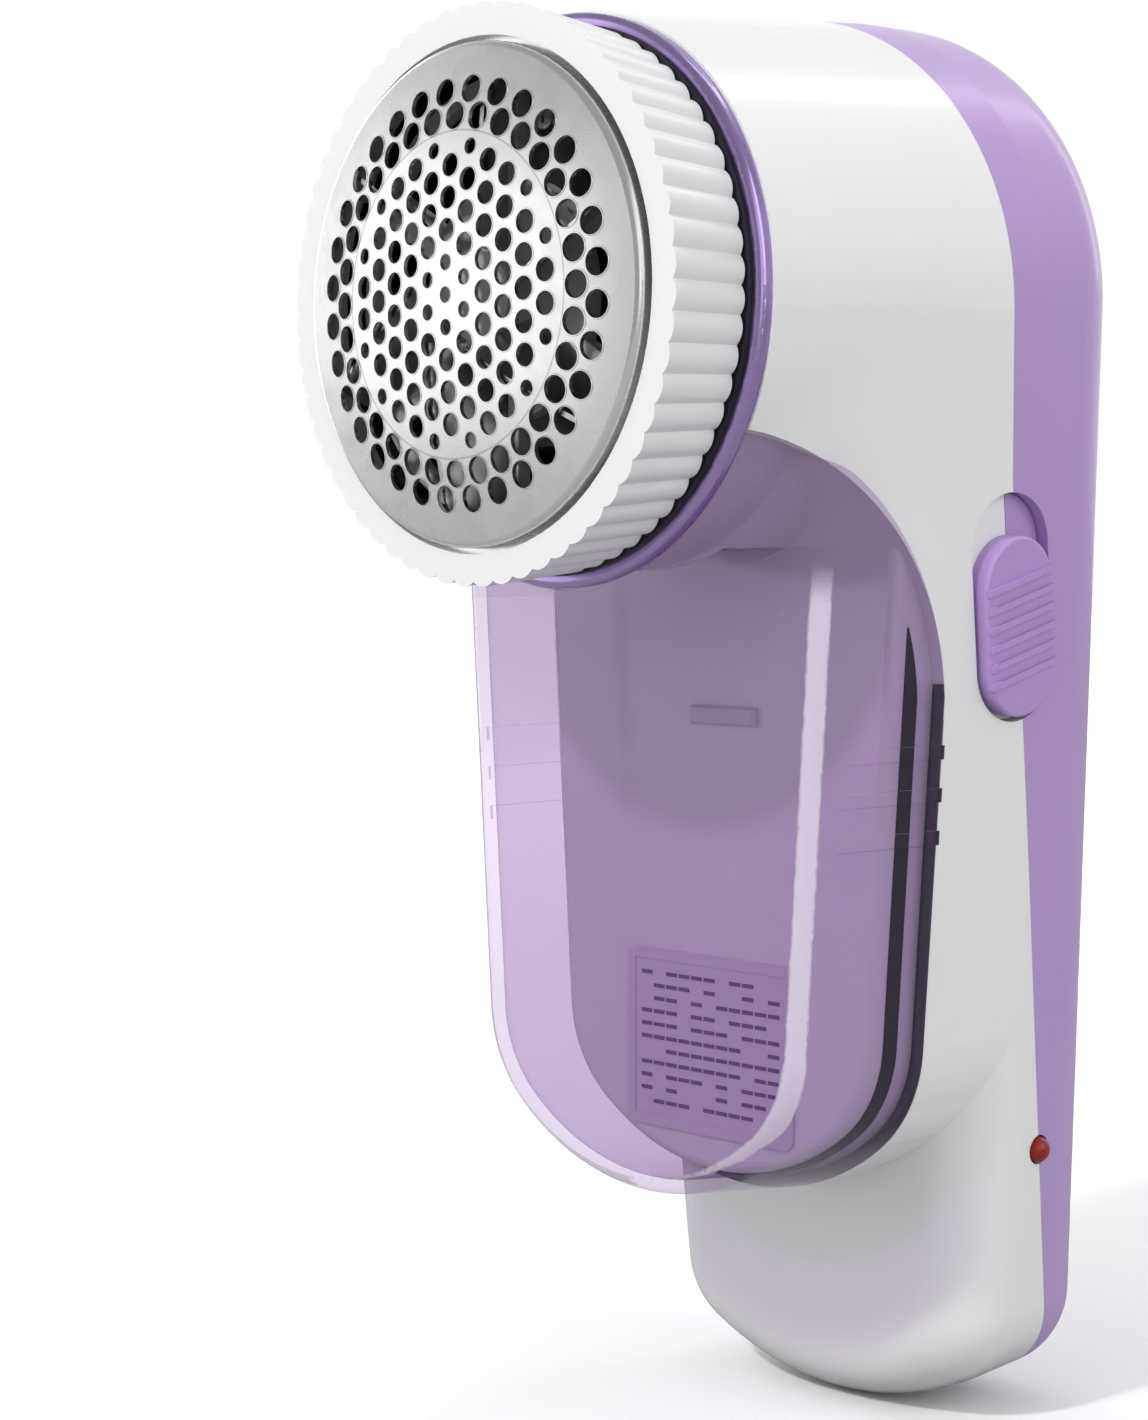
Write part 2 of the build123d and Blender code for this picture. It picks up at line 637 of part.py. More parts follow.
# ---- motor ----
def make_motor_can():
    """Deep-drawn can with a round boss and two screw holes in front."""
    can = cyl(MOTOR_R, MOTOR_Y, MOTOR_Y + MOTOR_L)
    can = fillet(can.faces().sort_by(Axis.Y)[0].edges(), 1.2)
    can -= cyl(MOTOR_R - MOTOR_WALL, MOTOR_Y + CAN_FRONT_T, MOTOR_Y + MOTOR_L + 1)
    can += cyl(MOTOR_BOSS_R, MOTOR_Y - MOTOR_BOSS_L, MOTOR_Y + CAN_FRONT_T)
    can -= cyl(BUSH_R, MOTOR_Y - MOTOR_BOSS_L - 1, MOTOR_Y + CAN_FRONT_T + 1)
    for x in (-MOTOR_SCREW_R, MOTOR_SCREW_R):
        can -= cyl(SCREW_R + SHAFT_FIT, MOTOR_Y - 1, MOTOR_Y + CAN_FRONT_T + 1, x)
    return can


def make_motor_magnet(start):
    """Curved magnet against the wall of the can."""
    r = MOTOR_R - MOTOR_WALL
    return sector(r - MAGNET_T, r, ROTOR_Y - 1, ROTOR_Y + ROTOR_L + 1, start, MAGNET_ARC)


def make_motor_rotor():
    """Wound core on the shaft, five poles, with the commutator behind it."""
    r = MOTOR_R - MOTOR_WALL - MAGNET_T - AIR_GAP
    rotor = cyl(r, ROTOR_Y, ROTOR_Y + ROTOR_L)
    for x, z in ring_points(POLES, r - 2.2):
        rotor -= cyl(1.5, ROTOR_Y - 1, ROTOR_Y + ROTOR_L + 1, x, z)
    rotor += cyl(COMMUTATOR_R, ROTOR_Y + ROTOR_L, ROTOR_Y + ROTOR_L + COMMUTATOR_L)
    return rotor - cyl(SHAFT_R, ROTOR_Y - 1, ROTOR_Y + ROTOR_L + COMMUTATOR_L + 1)


def make_motor_shaft():
    """Steel shaft from the driver to the rear bush."""
    shaft = cyl(SHAFT_R, SHAFT_FRONT_Y, MOTOR_Y + MOTOR_L + 0.8)
    return chamfer(shaft.edges().filter_by(GeomType.CIRCLE), 0.2)


def make_bush(y):
    """Bronze bearing bush for the shaft."""
    return tube(BUSH_R, SHAFT_R + SHAFT_FIT, y, y + BUSH_L)


def make_motor_end_cap():
    """Plastic cap that closes the can, with two terminals."""
    y = MOTOR_Y + MOTOR_L
    cap = cyl(MOTOR_R - MOTOR_WALL, y - CAP_T, y) + cyl(BUSH_R + 1.4, y - CAP_T, y + 0.8)
    for x in (-6.5, 6.5):
        cap += block(x - 0.4, x + 0.4, y - 0.5, y + 2.6, -1.2, 1.2)
    return cap - cyl(BUSH_R, y - CAP_T - 1, y + 2)


def make_motor_sleeve():
    """Rubber sleeve between the motor and the rib of the housing."""
    sleeve = tube(SLEEVE_R, MOTOR_R, SLEEVE_Y, SLEEVE_Y + SLEEVE_L)
    return sleeve + tube(SLEEVE_R + 0.6, MOTOR_R, RIB_Y + RIB_T, RIB_Y + RIB_T + 1.4)


# ---- housing ----
def housing_form(inset):
    """Handle, head barrel and bin pedestal together, head frame."""
    seat = seat_form(inset) + flank_form(inset)
    return LEAN * (handle_form(inset) + barrel_form(inset, SEAT_Y) + seat)


def front_half(outer, inner):
    """Bare front shell: barrel, core for the bin's collar, spigot and handle front."""
    shell = outer & (LEAN * seam_side(True))
    shell = shell - before(COLLAR_Y) - bin_reach(PART_GAP)
    under = bin_reach(PART_GAP + WALL)
    spigot_y = SEAT_Y - SPIGOT_L
    low = block(-60, 60, spigot_y, SEAT_Y + 2, -180, SPIGOT_TOP_Z)
    shell += core_barrel(0, COLLAR_Y, SEAT_Y + 2) & under
    spigot = cup_form(CORE_INSET, SEAT_Y + 2) & low
    spigot = fillet(spigot.faces().sort_by(Axis.Y)[0].edges(), SPIGOT_EDGE_R)
    shell += spigot & under
    room = inner - under - before(MOTOR_Y)
    room += core_barrel(WALL, MOTOR_Y, SEAT_Y + 4)
    low = block(-60, 60, spigot_y + WALL, SEAT_Y + 4, -180, SPIGOT_TOP_Z - WALL)
    room += cup_form(CORE_INSET + WALL, SEAT_Y + 4) & low
    return shell - room


def motor_rib(inner):
    """Cross rib that holds the motor's sleeve and the upper screw bosses."""
    slab = block(-60, 60, RIB_Y, RIB_Y + RIB_T, -60, 60)
    rib = (LEAN * barrel_form(WALL / 2, RIB_Y - 4)) & slab
    rib = rib - bin_reach(PART_GAP + WALL / 2)
    rib += core_barrel(WALL / 2, RIB_Y, RIB_Y + RIB_T)
    return rib - cyl(SLEEVE_R, RIB_Y - 1, RIB_Y + RIB_T + 1)


def housing_screw_places():
    """Two screws beside the motor and two at the foot, body frame."""
    return [(side * x, z) for x, z in (UPPER_SCREW, LOWER_SCREW) for side in (-1, 1)]


def cell_space(slack):
    """Room of the battery cell, body frame."""
    bottom = CELL_TOP_Z - CELL_L
    middle = Pos(CELL_X, CELL_Y, (CELL_TOP_Z + bottom) / 2)
    return middle * Cylinder(CELL_R + slack, CELL_L + 2 * slack)


def cross_rib(inner, z, front):
    """Rib across the handle that cradles the cell from one side of the seam."""
    slab = block(-40, 40, 30, 90, z - RIB_T / 2, z + RIB_T / 2)
    side = LEAN * (slab & Pos(0, -1 if front else 1, 0) * seam_side(front))
    grown = LEAN * handle_form(WALL / 2)
    return (grown & side) - LEAN * cell_space(FIT) - board_space(FIT)


def board_space(slack):
    """Room of the control board, which lies along the seam inside the switch side."""
    return on_side(SLOT_Z) * block(BOARD_X - slack, BOARD_X + BOARD_T + slack,
                                   -BOARD_W / 2 - slack, BOARD_W / 2 + slack,
                                   BOARD_TOP - BOARD_L - slack, BOARD_TOP + slack)


def slider_cutout(deep):
    """Recess for the power slider, with the passage for its stem."""
    recess = Pos(0, -SLOT_FORWARD, 0) * stadium(SLOT_W, SLOT_L, -SLOT_DEPTH, 6)
    passage = block(-8, 1, -STEM_W / 2 - deep, STEM_W / 2 + deep,
                    SLIDER_REST_Z - STEM_L / 2 - deep,
                    SLIDER_REST_Z + STEM_L / 2 + SLIDER_TRAVEL + deep)
    return on_side(SLOT_Z) * recess + on_side(SLOT_Z) * passage


def slider_pad():
    """Material behind the recess."""
    pad = stadium(SLOT_W + 3, SLOT_L + 3, -SLOT_DEPTH - PAD_T, -WALL * 0.7)
    return on_side(SLOT_Z) * Pos(0, -SLOT_FORWARD, 0) * pad


def led_place():
    """Frame of the lamp on the side, square to the control board."""
    return on_side(SLOT_Z) * Pos(0, 0, LED_DROP)


def side_cyl(r, x0, x1):
    """Cylinder along local X."""
    return Pos((x0 + x1) / 2, 0, 0) * Rot(0, 90, 0) * Cylinder(r, x1 - x0)


def make_front_shell(outer, inner):
    """Front of the housing with its ribs, bosses and openings."""
    shell = front_half(outer, inner) + motor_rib(inner)
    for x, z in chamber_screw_places():
        shell += cyl(BOSS_R, MOTOR_Y - 0.5, MOTOR_Y + CHAMBER_BOSS_L, x, z)
    for x, z in housing_screw_places():
        start = RIB_Y + 1 if z > 0 else HANDLE_FRONT_Y + WALL / 2
        shell += LEAN * (cyl(BOSS_R, start, 90, x, z) & seam_side(True))
    for z in FRONT_RIBS:
        shell += cross_rib(inner, z, True)
    pad = slider_pad() & (LEAN * seam_side(True))
    shell = shell + pad - slider_cutout(0.3)
    shell -= cyl(MOTOR_BOSS_R + FIT, COLLAR_Y - 1, MOTOR_Y + 1)
    for x in (-MOTOR_SCREW_R, MOTOR_SCREW_R):
        shell -= cyl(SCREW_R + SHAFT_FIT, COLLAR_Y - 1, MOTOR_Y + 1, x)
        shell -= cyl(SCREW_HEAD_R + FIT, COLLAR_Y - 1, COLLAR_Y + SCREW_HEAD_T, x)
    shell -= lint_window(COLLAR_Y - 1, MOTOR_Y + 1)
    half_w = CHUTE_HALF_W - CHUTE_WALL
    shell -= block(-half_w, half_w, CHUTE_MOUTH_Y, CHUTE_REAR_Y - CHUTE_WALL, -40, CHUTE_TOP_Z - 6)
    for x, z in chamber_screw_places():
        shell -= cyl(SCREW_R + SHAFT_FIT, COLLAR_Y - 1, MOTOR_Y + CHAMBER_BOSS_L - 0.8, x, z)
    for x, z in housing_screw_places():
        tip = seam_y(z) - SCREW_GRIP - 0.5
        shell -= LEAN * cyl(SCREW_R + SHAFT_FIT, tip, 90, x, z)
    shell -= gasket_space(SHAFT_FIT)
    return shell - led_place() * side_cyl(LED_R + FIT, -10, 6)


def make_rear_shell(outer, inner):
    """Back of the housing with screw wells, cradle ribs and the socket opening."""
    behind = LEAN * seam_side(False)
    shell = (outer - inner) & behind
    for x, z in housing_screw_places():
        shell += LEAN * (cyl(WELL_R, seam_y(z) - 2, BACK_Y - WALL / 2, x, z) & seam_side(False))
    for z in REAR_RIBS:
        shell += cross_rib(inner, z, False)
    for x in (-1, 1):
        shell += LEAN * block(x * 4 - 1, x * 4 + 1, CHARGE_BOARD_Y + CHARGE_BOARD_T,
                              BACK_Y - WALL / 2, CHARGE_BOARD_Z + 3, CHARGE_BOARD_Z + 10)
    pad = slider_pad() & behind
    shell = shell + pad - slider_cutout(0.3)
    for x, z in housing_screw_places():
        seat = seam_y(z) + SCREW_SEAT
        shell -= LEAN * cyl(SCREW_R + SHAFT_FIT, seam_y(z) - 3, seat + 1, x, z)
        shell -= LEAN * cyl(SCREW_HEAD_R + FIT, seat, 90, x, z)
    shell -= socket_space(FIT)
    return shell - led_place() * side_cyl(LED_R + FIT, -10, 6)


def make_lint_chute():
    """Duct from the cutter chamber past the motor into the bin."""
    half_w = CHUTE_HALF_W
    duct = block(-half_w, half_w, CHUTE_FRONT_Y, CHUTE_REAR_Y, -40, CHUTE_TOP_Z)
    duct -= block(CHUTE_WALL - half_w, half_w - CHUTE_WALL, CHUTE_FRONT_Y - 1,
                  CHUTE_REAR_Y - CHUTE_WALL, -41, CHUTE_TOP_Z - CHUTE_WALL)
    return duct & core_barrel(WALL + FIT, CHUTE_FRONT_Y - 1, CHUTE_REAR_Y + 1)


# ---- lint bin ----
def make_lint_bin():
    """Clear cup with a collar that wraps the barrel from below and grip ribs."""
    reach = bin_reach(0)
    cup = cup_form(0, SEAT_Y) & reach
    collar = (LEAN * barrel_form(0, 0)) & block(-60, 60, COLLAR_Y, SEAT_Y, -180, 60)
    cup += collar & reach
    cup = fillet(neck_edges(cup), BIN_NECK_R)
    cup -= cup_form(BIN_WALL, SEAT_Y + 5)
    cup -= core_barrel(-PART_GAP, COLLAR_Y - 1, SEAT_Y + 1)
    grown = cup_form(-GRIP_H, SEAT_Y)
    room = cup_form(BIN_WALL / 2, SEAT_Y + 5)
    for i in range(GRIP_RIBS):
        z = GRIP_TOP_Z - i * GRIP_PITCH
        bar = block(-60, 60, SEAT_Y - GRIP_L, SEAT_Y, z - GRIP_W / 2, z + GRIP_W / 2)
        cup += (grown & bar) - room
    return cup


def neck_edges(cup):
    """Edges where the collar meets the cup's front face."""
    return [e for e in cup.edges()
            if abs(e.center().Y - BIN_FRONT_Y) < 0.5 and e.center().Z > BIN_EDGE_Z + 8
            and abs(e.bounding_box().max.Y - BIN_FRONT_Y) < 0.6
            and abs(e.bounding_box().min.Y - BIN_FRONT_Y) < 0.6]


def socket_space(slack):
    """Room of the charging socket in the foot, with its opening, head frame."""
    half_w = SOCKET_W / 2 + slack
    half_t = SOCKET_T / 2 + slack
    return LEAN * block(-half_w, half_w, SOCKET_Y - half_t, SOCKET_Y + half_t,
                        HANDLE_FOOT_Z - 4, SOCKET_FOOT_Z + SOCKET_L)


def gasket_space(slack):
    """Groove around the spigot, behind its front lip, head frame."""
    y0 = SEAT_Y - SPIGOT_L + GASKET_LIP
    slab = block(-60, 60, y0 - slack, y0 + GASKET_T + slack, -180, SPIGOT_TOP_Z)
    outside = BIN_WALL + SEAL_GAP
    strip = cup_form(outside - slack, SEAT_Y) - cup_form(outside + GASKET_W + slack, SEAT_Y)
    return strip & slab & bin_reach(slack - PART_GAP - WALL)


def make_bin_gasket():
    """Dark band around the side of the spigot."""
    return gasket_space(0)


def make_bin_catch():
    """Small raised bar on the face of the spigot that the bin snaps over."""
    y1 = SEAT_Y - SPIGOT_L
    bar = block(CATCH_X0, CATCH_X1, y1 - CATCH_H, y1, CATCH_Z - CATCH_W, CATCH_Z)
    return fillet(bar.faces().sort_by(Axis.Y)[0].edges(), 0.4)


def make_rating_plate():
    """Blank plate on the face of the spigot."""
    y1 = SEAT_Y - SPIGOT_L
    plate = block(-PLATE_W / 2, PLATE_W / 2, y1 - PLATE_T, y1, PLATE_FOOT_Z, PLATE_FOOT_Z + PLATE_H)
    plate = fillet(plate.edges().filter_by(Axis.Y), 1.5)
    inset = block(1.2 - PLATE_W / 2, PLATE_W / 2 - 1.2, y1 - 2, y1 - PLATE_T + 0.15,
                  PLATE_FOOT_Z + 1.2, PLATE_FOOT_Z + PLATE_H - 1.2)
    return plate - inset


# ---- power slider and electrics ----
def make_switch_guide():
    """Plate on the floor of the recess, with the passage for the stem."""
    floor_x = -SLOT_DEPTH
    plate = stadium(SLOT_W - 2 * FIT, SLOT_L - 2 * FIT, floor_x, floor_x + GUIDE_T)
    plate = Pos(0, -SLOT_FORWARD, 0) * plate
    passage = block(-8, 2, -STEM_W / 2 - 0.2, STEM_W / 2 + 0.2,
                    SLIDER_REST_Z - STEM_L / 2 - 0.2,
                    SLIDER_REST_Z + STEM_L / 2 + SLIDER_TRAVEL + 0.2)
    return on_side(SLOT_Z) * (plate - passage)


def make_power_slider():
    """Ribbed thumb slider with a forked stem."""
    floor_x = -SLOT_DEPTH + GUIDE_T + SHAFT_FIT
    cap = stadium(SLIDER_W, SLIDER_L, floor_x, SLIDER_PROUD, SLIDER_REST_Z)
    cap = fillet(cap.faces().sort_by(Axis.X)[-1].edges(), 0.4)
    half_w = SLIDER_W / 2 - 0.15
    for i in range(SLIDER_RIBS):
        z = SLIDER_REST_Z + (i - (SLIDER_RIBS - 1) / 2) * SLIDER_RIB_PITCH
        rib = Rot(SLIDER_RIB_TILT, 0, 0) * block(-0.4, SLIDER_RIB_H, -half_w, half_w, -0.35, 0.35)
        cap += Pos(SLIDER_PROUD, 0, z) * rib
    cap = Pos(0, -SLOT_FORWARD, 0) * cap
    stem = block(STEM_X, floor_x + 0.2, -STEM_W / 2, STEM_W / 2, -STEM_L / 2, STEM_L / 2)
    notch = block(STEM_X - 1, STEM_X + LEVER_DIP, -STEM_W, STEM_W,
                  -LEVER_T / 2 - SHAFT_FIT, LEVER_T / 2 + SHAFT_FIT)
    cap += Pos(0, 0, SLIDER_REST_Z) * (stem - notch)
    return on_side(SLOT_Z) * cap


def make_switch_lever():
    """Lever of the slide switch, held in the fork of the stem."""
    half = LEVER_T / 2
    bar = block(SWITCH_X - LEVER_DIP, STEM_X + LEVER_DIP - 0.2, -half, half, -half, half)
    return on_side(SLOT_Z) * Pos(0, 0, SLIDER_REST_Z) * bar


def make_slide_switch():
    """Slide switch body on the control board."""
    mid = SLIDER_REST_Z + SLIDER_TRAVEL / 2
    body = block(BOARD_X + BOARD_T, SWITCH_X, -SWITCH_W / 2, SWITCH_W / 2,
                 mid - SWITCH_L / 2, mid + SWITCH_L / 2)
    reach = LEVER_T / 2 + 0.3
    body -= block(SWITCH_X - LEVER_DIP - 0.2, SWITCH_X + 1, -LEVER_T / 2 - 0.1, LEVER_T / 2 + 0.1,
                  SLIDER_REST_Z - reach, SLIDER_REST_Z + SLIDER_TRAVEL + reach)
    return on_side(SLOT_Z) * body


def make_control_board():
    """Printed board along the seam."""
    return board_space(0)


def make_charge_led():
    """Round lamp with a flange, its dome standing out of the side."""
    body = side_cyl(LED_R, -LED_L, LED_PROUD - LED_R) + side_cyl(LED_R + 0.35, -LED_L, 0.8 - LED_L)
    return led_place() * (body + Pos(LED_PROUD - LED_R, 0, 0) * Sphere(LED_R))


def make_led_holder():
    """Spacer tube between the control board and the lamp."""
    base = BOARD_X + BOARD_T
    return led_place() * (side_cyl(LED_R + 0.9, base, -LED_L) - side_cyl(LED_R - 0.5, base - 1, 1))


def make_battery_cell():
    """Cylindrical cell with its raised contact on top."""
    bottom = CELL_TOP_Z - CELL_L
    cell = Pos(CELL_X, CELL_Y, (CELL_TOP_Z + bottom) / 2) * Cylinder(CELL_R, CELL_L)
    cell = fillet(cell.edges().filter_by(GeomType.CIRCLE), 0.7)
    cap = Pos(CELL_X, CELL_Y, CELL_TOP_Z + BUTTON_H / 2) * Cylinder(3.4, BUTTON_H)
    return LEAN * (cell + cap)


def make_battery_tab(top):
    """Nickel strip on one end of the cell."""
    z0 = CELL_TOP_Z + BUTTON_H if top else CELL_TOP_Z - CELL_L - TAB_T
    return LEAN * block(CELL_X - 3, CELL_X + 8, CELL_Y - 2.5, CELL_Y + 2.5, z0, z0 + TAB_T)


def make_charging_socket():
    """Folded metal shell of the socket, open at the foot."""
    half_w = SOCKET_W / 2
    half_t = SOCKET_T / 2
    top = SOCKET_FOOT_Z + SOCKET_L
    shell = block(-half_w, half_w, SOCKET_Y - half_t, SOCKET_Y + half_t, SOCKET_FOOT_Z, top)
    shell = fillet(shell.edges().filter_by(Axis.Z), 0.9)
    room = block(SOCKET_LIP - half_w, half_w - SOCKET_LIP, SOCKET_Y - half_t + SOCKET_LIP,
                 SOCKET_Y + half_t - SOCKET_LIP, SOCKET_FOOT_Z - 1, top - 1)
    room = fillet(room.edges().filter_by(Axis.Z), 0.6)
    return LEAN * (shell - room)


def make_socket_tongue():
    """Contact tongue inside the socket."""
    top = SOCKET_FOOT_Z + SOCKET_L - 1
    return LEAN * block(-3.0, 3.0, SOCKET_Y - 0.35, SOCKET_Y + 0.35, SOCKET_FOOT_Z + 1.2, top)


def make_charge_board():
    """Small board behind the socket."""
    half_w = CHARGE_BOARD_W / 2
    return LEAN * block(-half_w, half_w, CHARGE_BOARD_Y, CHARGE_BOARD_Y + CHARGE_BOARD_T,
                        CHARGE_BOARD_Z, CHARGE_BOARD_Z + CHARGE_BOARD_L)


def make_housing_screw(x, z):
    """Screw from the back, its head in the well of the rear shell."""
    body = Rot(0, 0, 180) * screw(0, 0, 0, SCREW_SEAT + SCREW_GRIP)
    return LEAN * Pos(x, seam_y(z) + SCREW_SEAT, z) * body


def build():
    """Every node by name, head frame."""
    outer = housing_form(0)
    inner = housing_form(WALL)
    nodes = {
        "front_shell": make_front_shell(outer, inner),
        "rear_shell": make_rear_shell(outer, inner),
        "trim_ring": make_trim_ring(),
        "seal_ring": make_seal_ring(),
        "cutter_chamber": make_cutter_chamber(),
        "lock_ring": make_lock_ring(),
        "shaving_foil": make_shaving_foil(),
        "foil_clamp_ring": make_foil_clamp_ring(),
        "cutter_carrier": make_cutter_carrier(),
        "drive_hub": make_drive_hub(),
        "motor_can": make_motor_can(),
        "motor_end_cap": make_motor_end_cap(),
        "motor_rotor": make_motor_rotor(),
        "motor_shaft": make_motor_shaft(),
        "motor_bush_front": make_bush(MOTOR_Y - MOTOR_BOSS_L),
        "motor_bush_rear": make_bush(MOTOR_Y + MOTOR_L - CAP_T),
        "motor_magnet_upper": make_motor_magnet(180 + (180 - MAGNET_ARC) / 2),
        "motor_magnet_lower": make_motor_magnet((180 - MAGNET_ARC) / 2),
        "motor_sleeve": make_motor_sleeve(),
        "lint_chute": make_lint_chute(),
        "lint_bin": make_lint_bin(),
        "bin_gasket": make_bin_gasket(),
        "bin_catch": make_bin_catch(),
        "rating_plate": make_rating_plate(),
        "switch_guide": make_switch_guide(),
        "power_slider": make_power_slider(),
        "switch_lever": make_switch_lever(),
        "slide_switch": make_slide_switch(),
        "control_board": make_control_board(),
        "charge_led": make_charge_led(),
        "led_holder": make_led_holder(),
        "battery_cell": make_battery_cell(),
        "battery_tab_top": make_battery_tab(True),
        "battery_tab_bottom": make_battery_tab(False),
        "charging_socket": make_charging_socket(),
        "socket_tongue": make_socket_tongue(),
        "charge_board": make_charge_board(),
    }
    for i in range(BLADES):
        nodes[f"cutter_blade_{i + 1}"] = make_cutter_blade(i)
    for i, (x, z) in enumerate(chamber_screw_places()):
        nodes[f"chamber_screw_{i + 1}"] = screw(x, CHAMBER_PLATE_Y, z, MOTOR_Y - CHAMBER_PLATE_Y + 3.6)
    for i, x in enumerate((-MOTOR_SCREW_R, MOTOR_SCREW_R)):
        nodes[f"motor_screw_{i + 1}"] = screw(x, COLLAR_Y + SCREW_HEAD_T, 0, 3.4)
    for i, (x, z) in enumerate(housing_screw_places()):
        nodes[f"housing_screw_{i + 1}"] = make_housing_screw(x, z)
    return nodes


def place(nodes):
    """Move every node so that the origin is at the middle of the foot."""
    boxes = [shape.bounding_box() for shape in nodes.values()]
    low_x = min(b.min.X for b in boxes)
    high_x = max(b.max.X for b in boxes)
    low_y = min(b.min.Y for b in boxes)
    high_y = max(b.max.Y for b in boxes)
    shift = Pos(-(low_x + high_x) / 2, -(low_y + high_y) / 2, -min(b.min.Z for b in boxes))
    print("shift", shift.position)
    return {name: shift * shape for name, shape in nodes.items()}


os.makedirs("parts", exist_ok=True)
for name, shape in place(build()).items():
    export_step(shape, f"parts/{name}.step")
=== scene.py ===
import json
import math

import bmesh
import bpy
from bpy.props import FloatProperty, FloatVectorProperty, PointerProperty
from mathutils import Matrix, Vector

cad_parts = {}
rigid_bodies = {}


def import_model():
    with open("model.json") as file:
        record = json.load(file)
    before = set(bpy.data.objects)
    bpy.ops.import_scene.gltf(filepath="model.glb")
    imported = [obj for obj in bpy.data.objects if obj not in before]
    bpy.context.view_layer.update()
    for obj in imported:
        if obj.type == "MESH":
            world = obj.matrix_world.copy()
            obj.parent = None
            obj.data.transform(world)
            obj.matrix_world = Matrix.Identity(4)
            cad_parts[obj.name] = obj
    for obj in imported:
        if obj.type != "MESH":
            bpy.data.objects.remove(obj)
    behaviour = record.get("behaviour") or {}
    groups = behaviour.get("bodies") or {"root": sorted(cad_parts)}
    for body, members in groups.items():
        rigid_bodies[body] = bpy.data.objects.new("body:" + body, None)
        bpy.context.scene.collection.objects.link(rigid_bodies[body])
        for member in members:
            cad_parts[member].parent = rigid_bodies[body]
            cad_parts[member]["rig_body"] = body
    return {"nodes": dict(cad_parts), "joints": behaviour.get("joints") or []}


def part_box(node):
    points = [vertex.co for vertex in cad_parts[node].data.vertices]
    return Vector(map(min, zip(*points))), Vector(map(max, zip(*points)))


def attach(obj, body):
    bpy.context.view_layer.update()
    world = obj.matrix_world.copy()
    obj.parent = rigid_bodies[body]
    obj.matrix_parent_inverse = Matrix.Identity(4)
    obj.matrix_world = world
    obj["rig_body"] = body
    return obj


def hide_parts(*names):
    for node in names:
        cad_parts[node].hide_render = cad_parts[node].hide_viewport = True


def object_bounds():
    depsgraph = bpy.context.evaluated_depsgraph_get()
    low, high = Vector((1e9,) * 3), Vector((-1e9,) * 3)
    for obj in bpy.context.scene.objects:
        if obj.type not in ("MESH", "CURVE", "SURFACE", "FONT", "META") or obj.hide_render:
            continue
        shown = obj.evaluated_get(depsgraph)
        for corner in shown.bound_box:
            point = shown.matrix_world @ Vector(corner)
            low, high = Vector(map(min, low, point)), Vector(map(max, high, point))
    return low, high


bl_info = {
    "name": "Fabric shaver looks",
    "version": (1, 0, 0),
    "blender": (4, 5, 0),
    "location": "View3D > Sidebar > Shaver",
    "description": "Finishes, fine shapes and studio for a hand-held fabric shaver",
    "category": "Object",
}

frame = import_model()
nodes = frame["nodes"]
CAD_BOX = [list(corner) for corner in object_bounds()]


# ---------------------------------------------------------------- places read from the frame
def middle(node):
    """Middle of a node's box."""
    low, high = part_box(node)
    return (low + high) / 2


HEAD = middle("lock_ring")
FOIL_AHEAD = 0.0019                        # from the ring's front to the foil's outermost holes
HEAD_CENTRE = Vector((HEAD.x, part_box("lock_ring")[0].y - FOIL_AHEAD, HEAD.z))
SIDE_JOINT = next(j for j in frame["joints"] if j["name"] == "switch_slide")
SLIDE_UP = Vector(SIDE_JOINT["axis"]).normalized()
SEAM_SPOT = middle("charge_led")
SEAM_ACROSS = SLIDE_UP.cross(Vector((1, 0, 0))).normalized()


# ---------------------------------------------------------------- settings
def length(name, text, default):
    return FloatProperty(name=name, description=text, default=default, unit="LENGTH")


def share(name, text, default):
    return FloatProperty(name=name, description=text, default=default, subtype="FACTOR")


def angle(name, text, degrees):
    return FloatProperty(
        name=name, description=text, default=math.radians(degrees), subtype="ANGLE"
    )


def colour(name, text, default):
    return FloatVectorProperty(
        name=name, description=text, default=default, size=3, min=0, max=1, subtype="COLOR"
    )


class ShaverFinish(bpy.types.PropertyGroup):
    shell: colour("Shell white", "Pearly white of the front housing and barrel", (0.79, 0.79, 0.80))
    lilac: colour("Lilac", "Glossy lilac of the back shell", (0.42, 0.29, 0.58))
    ring: colour("Ring white", "White of the knurled lock ring", (0.74, 0.74, 0.75))
    steel: colour("Foil steel", "Polished steel of the shaving foil", (0.72, 0.72, 0.73))
    trim: colour("Trim violet", "Metallic violet of the trim ring", (0.40, 0.29, 0.60))
    clear: colour("Bin tint", "Tint of the clear lint bin", (0.715, 0.64, 0.775))
    shade: colour("Bin shade", "Tint of the light that comes through the bin", (0.60, 0.455, 0.70))
    slider: colour("Slider", "Lilac of the thumb slider", (0.42, 0.28, 0.60))
    lamp: colour("Lamp", "Red of the charge lamp", (0.24, 0.004, 0.004))


class ShaverFoil(bpy.types.PropertyGroup):
    rim: length("Hole rim", "Width of the rolled edge round each hole", 0.00016)
    groove: length("Groove", "Radius of the fine turned line between the holes", 0.0164)


class ShaverBin(bpy.types.PropertyGroup):
    # painted shade: the dark rear rim stands in for the shade along the bin's rear edge
    rim: length("Rim", "Width of the dark rear rim of the clear bin", 0.0002)
    # painted highlight: the pale strips along the bin's rounded edges, their strength and top
    edge: share("Edge", "Paleness of its rounded edges", 0.75)
    highlight_top: length("Edge top", "How far below the head's middle the pale edges start", 0.027)


class ShaverHousing(bpy.types.PropertyGroup):
    lean: angle("Lean", "Lean of the handle and its screws", 2.8)


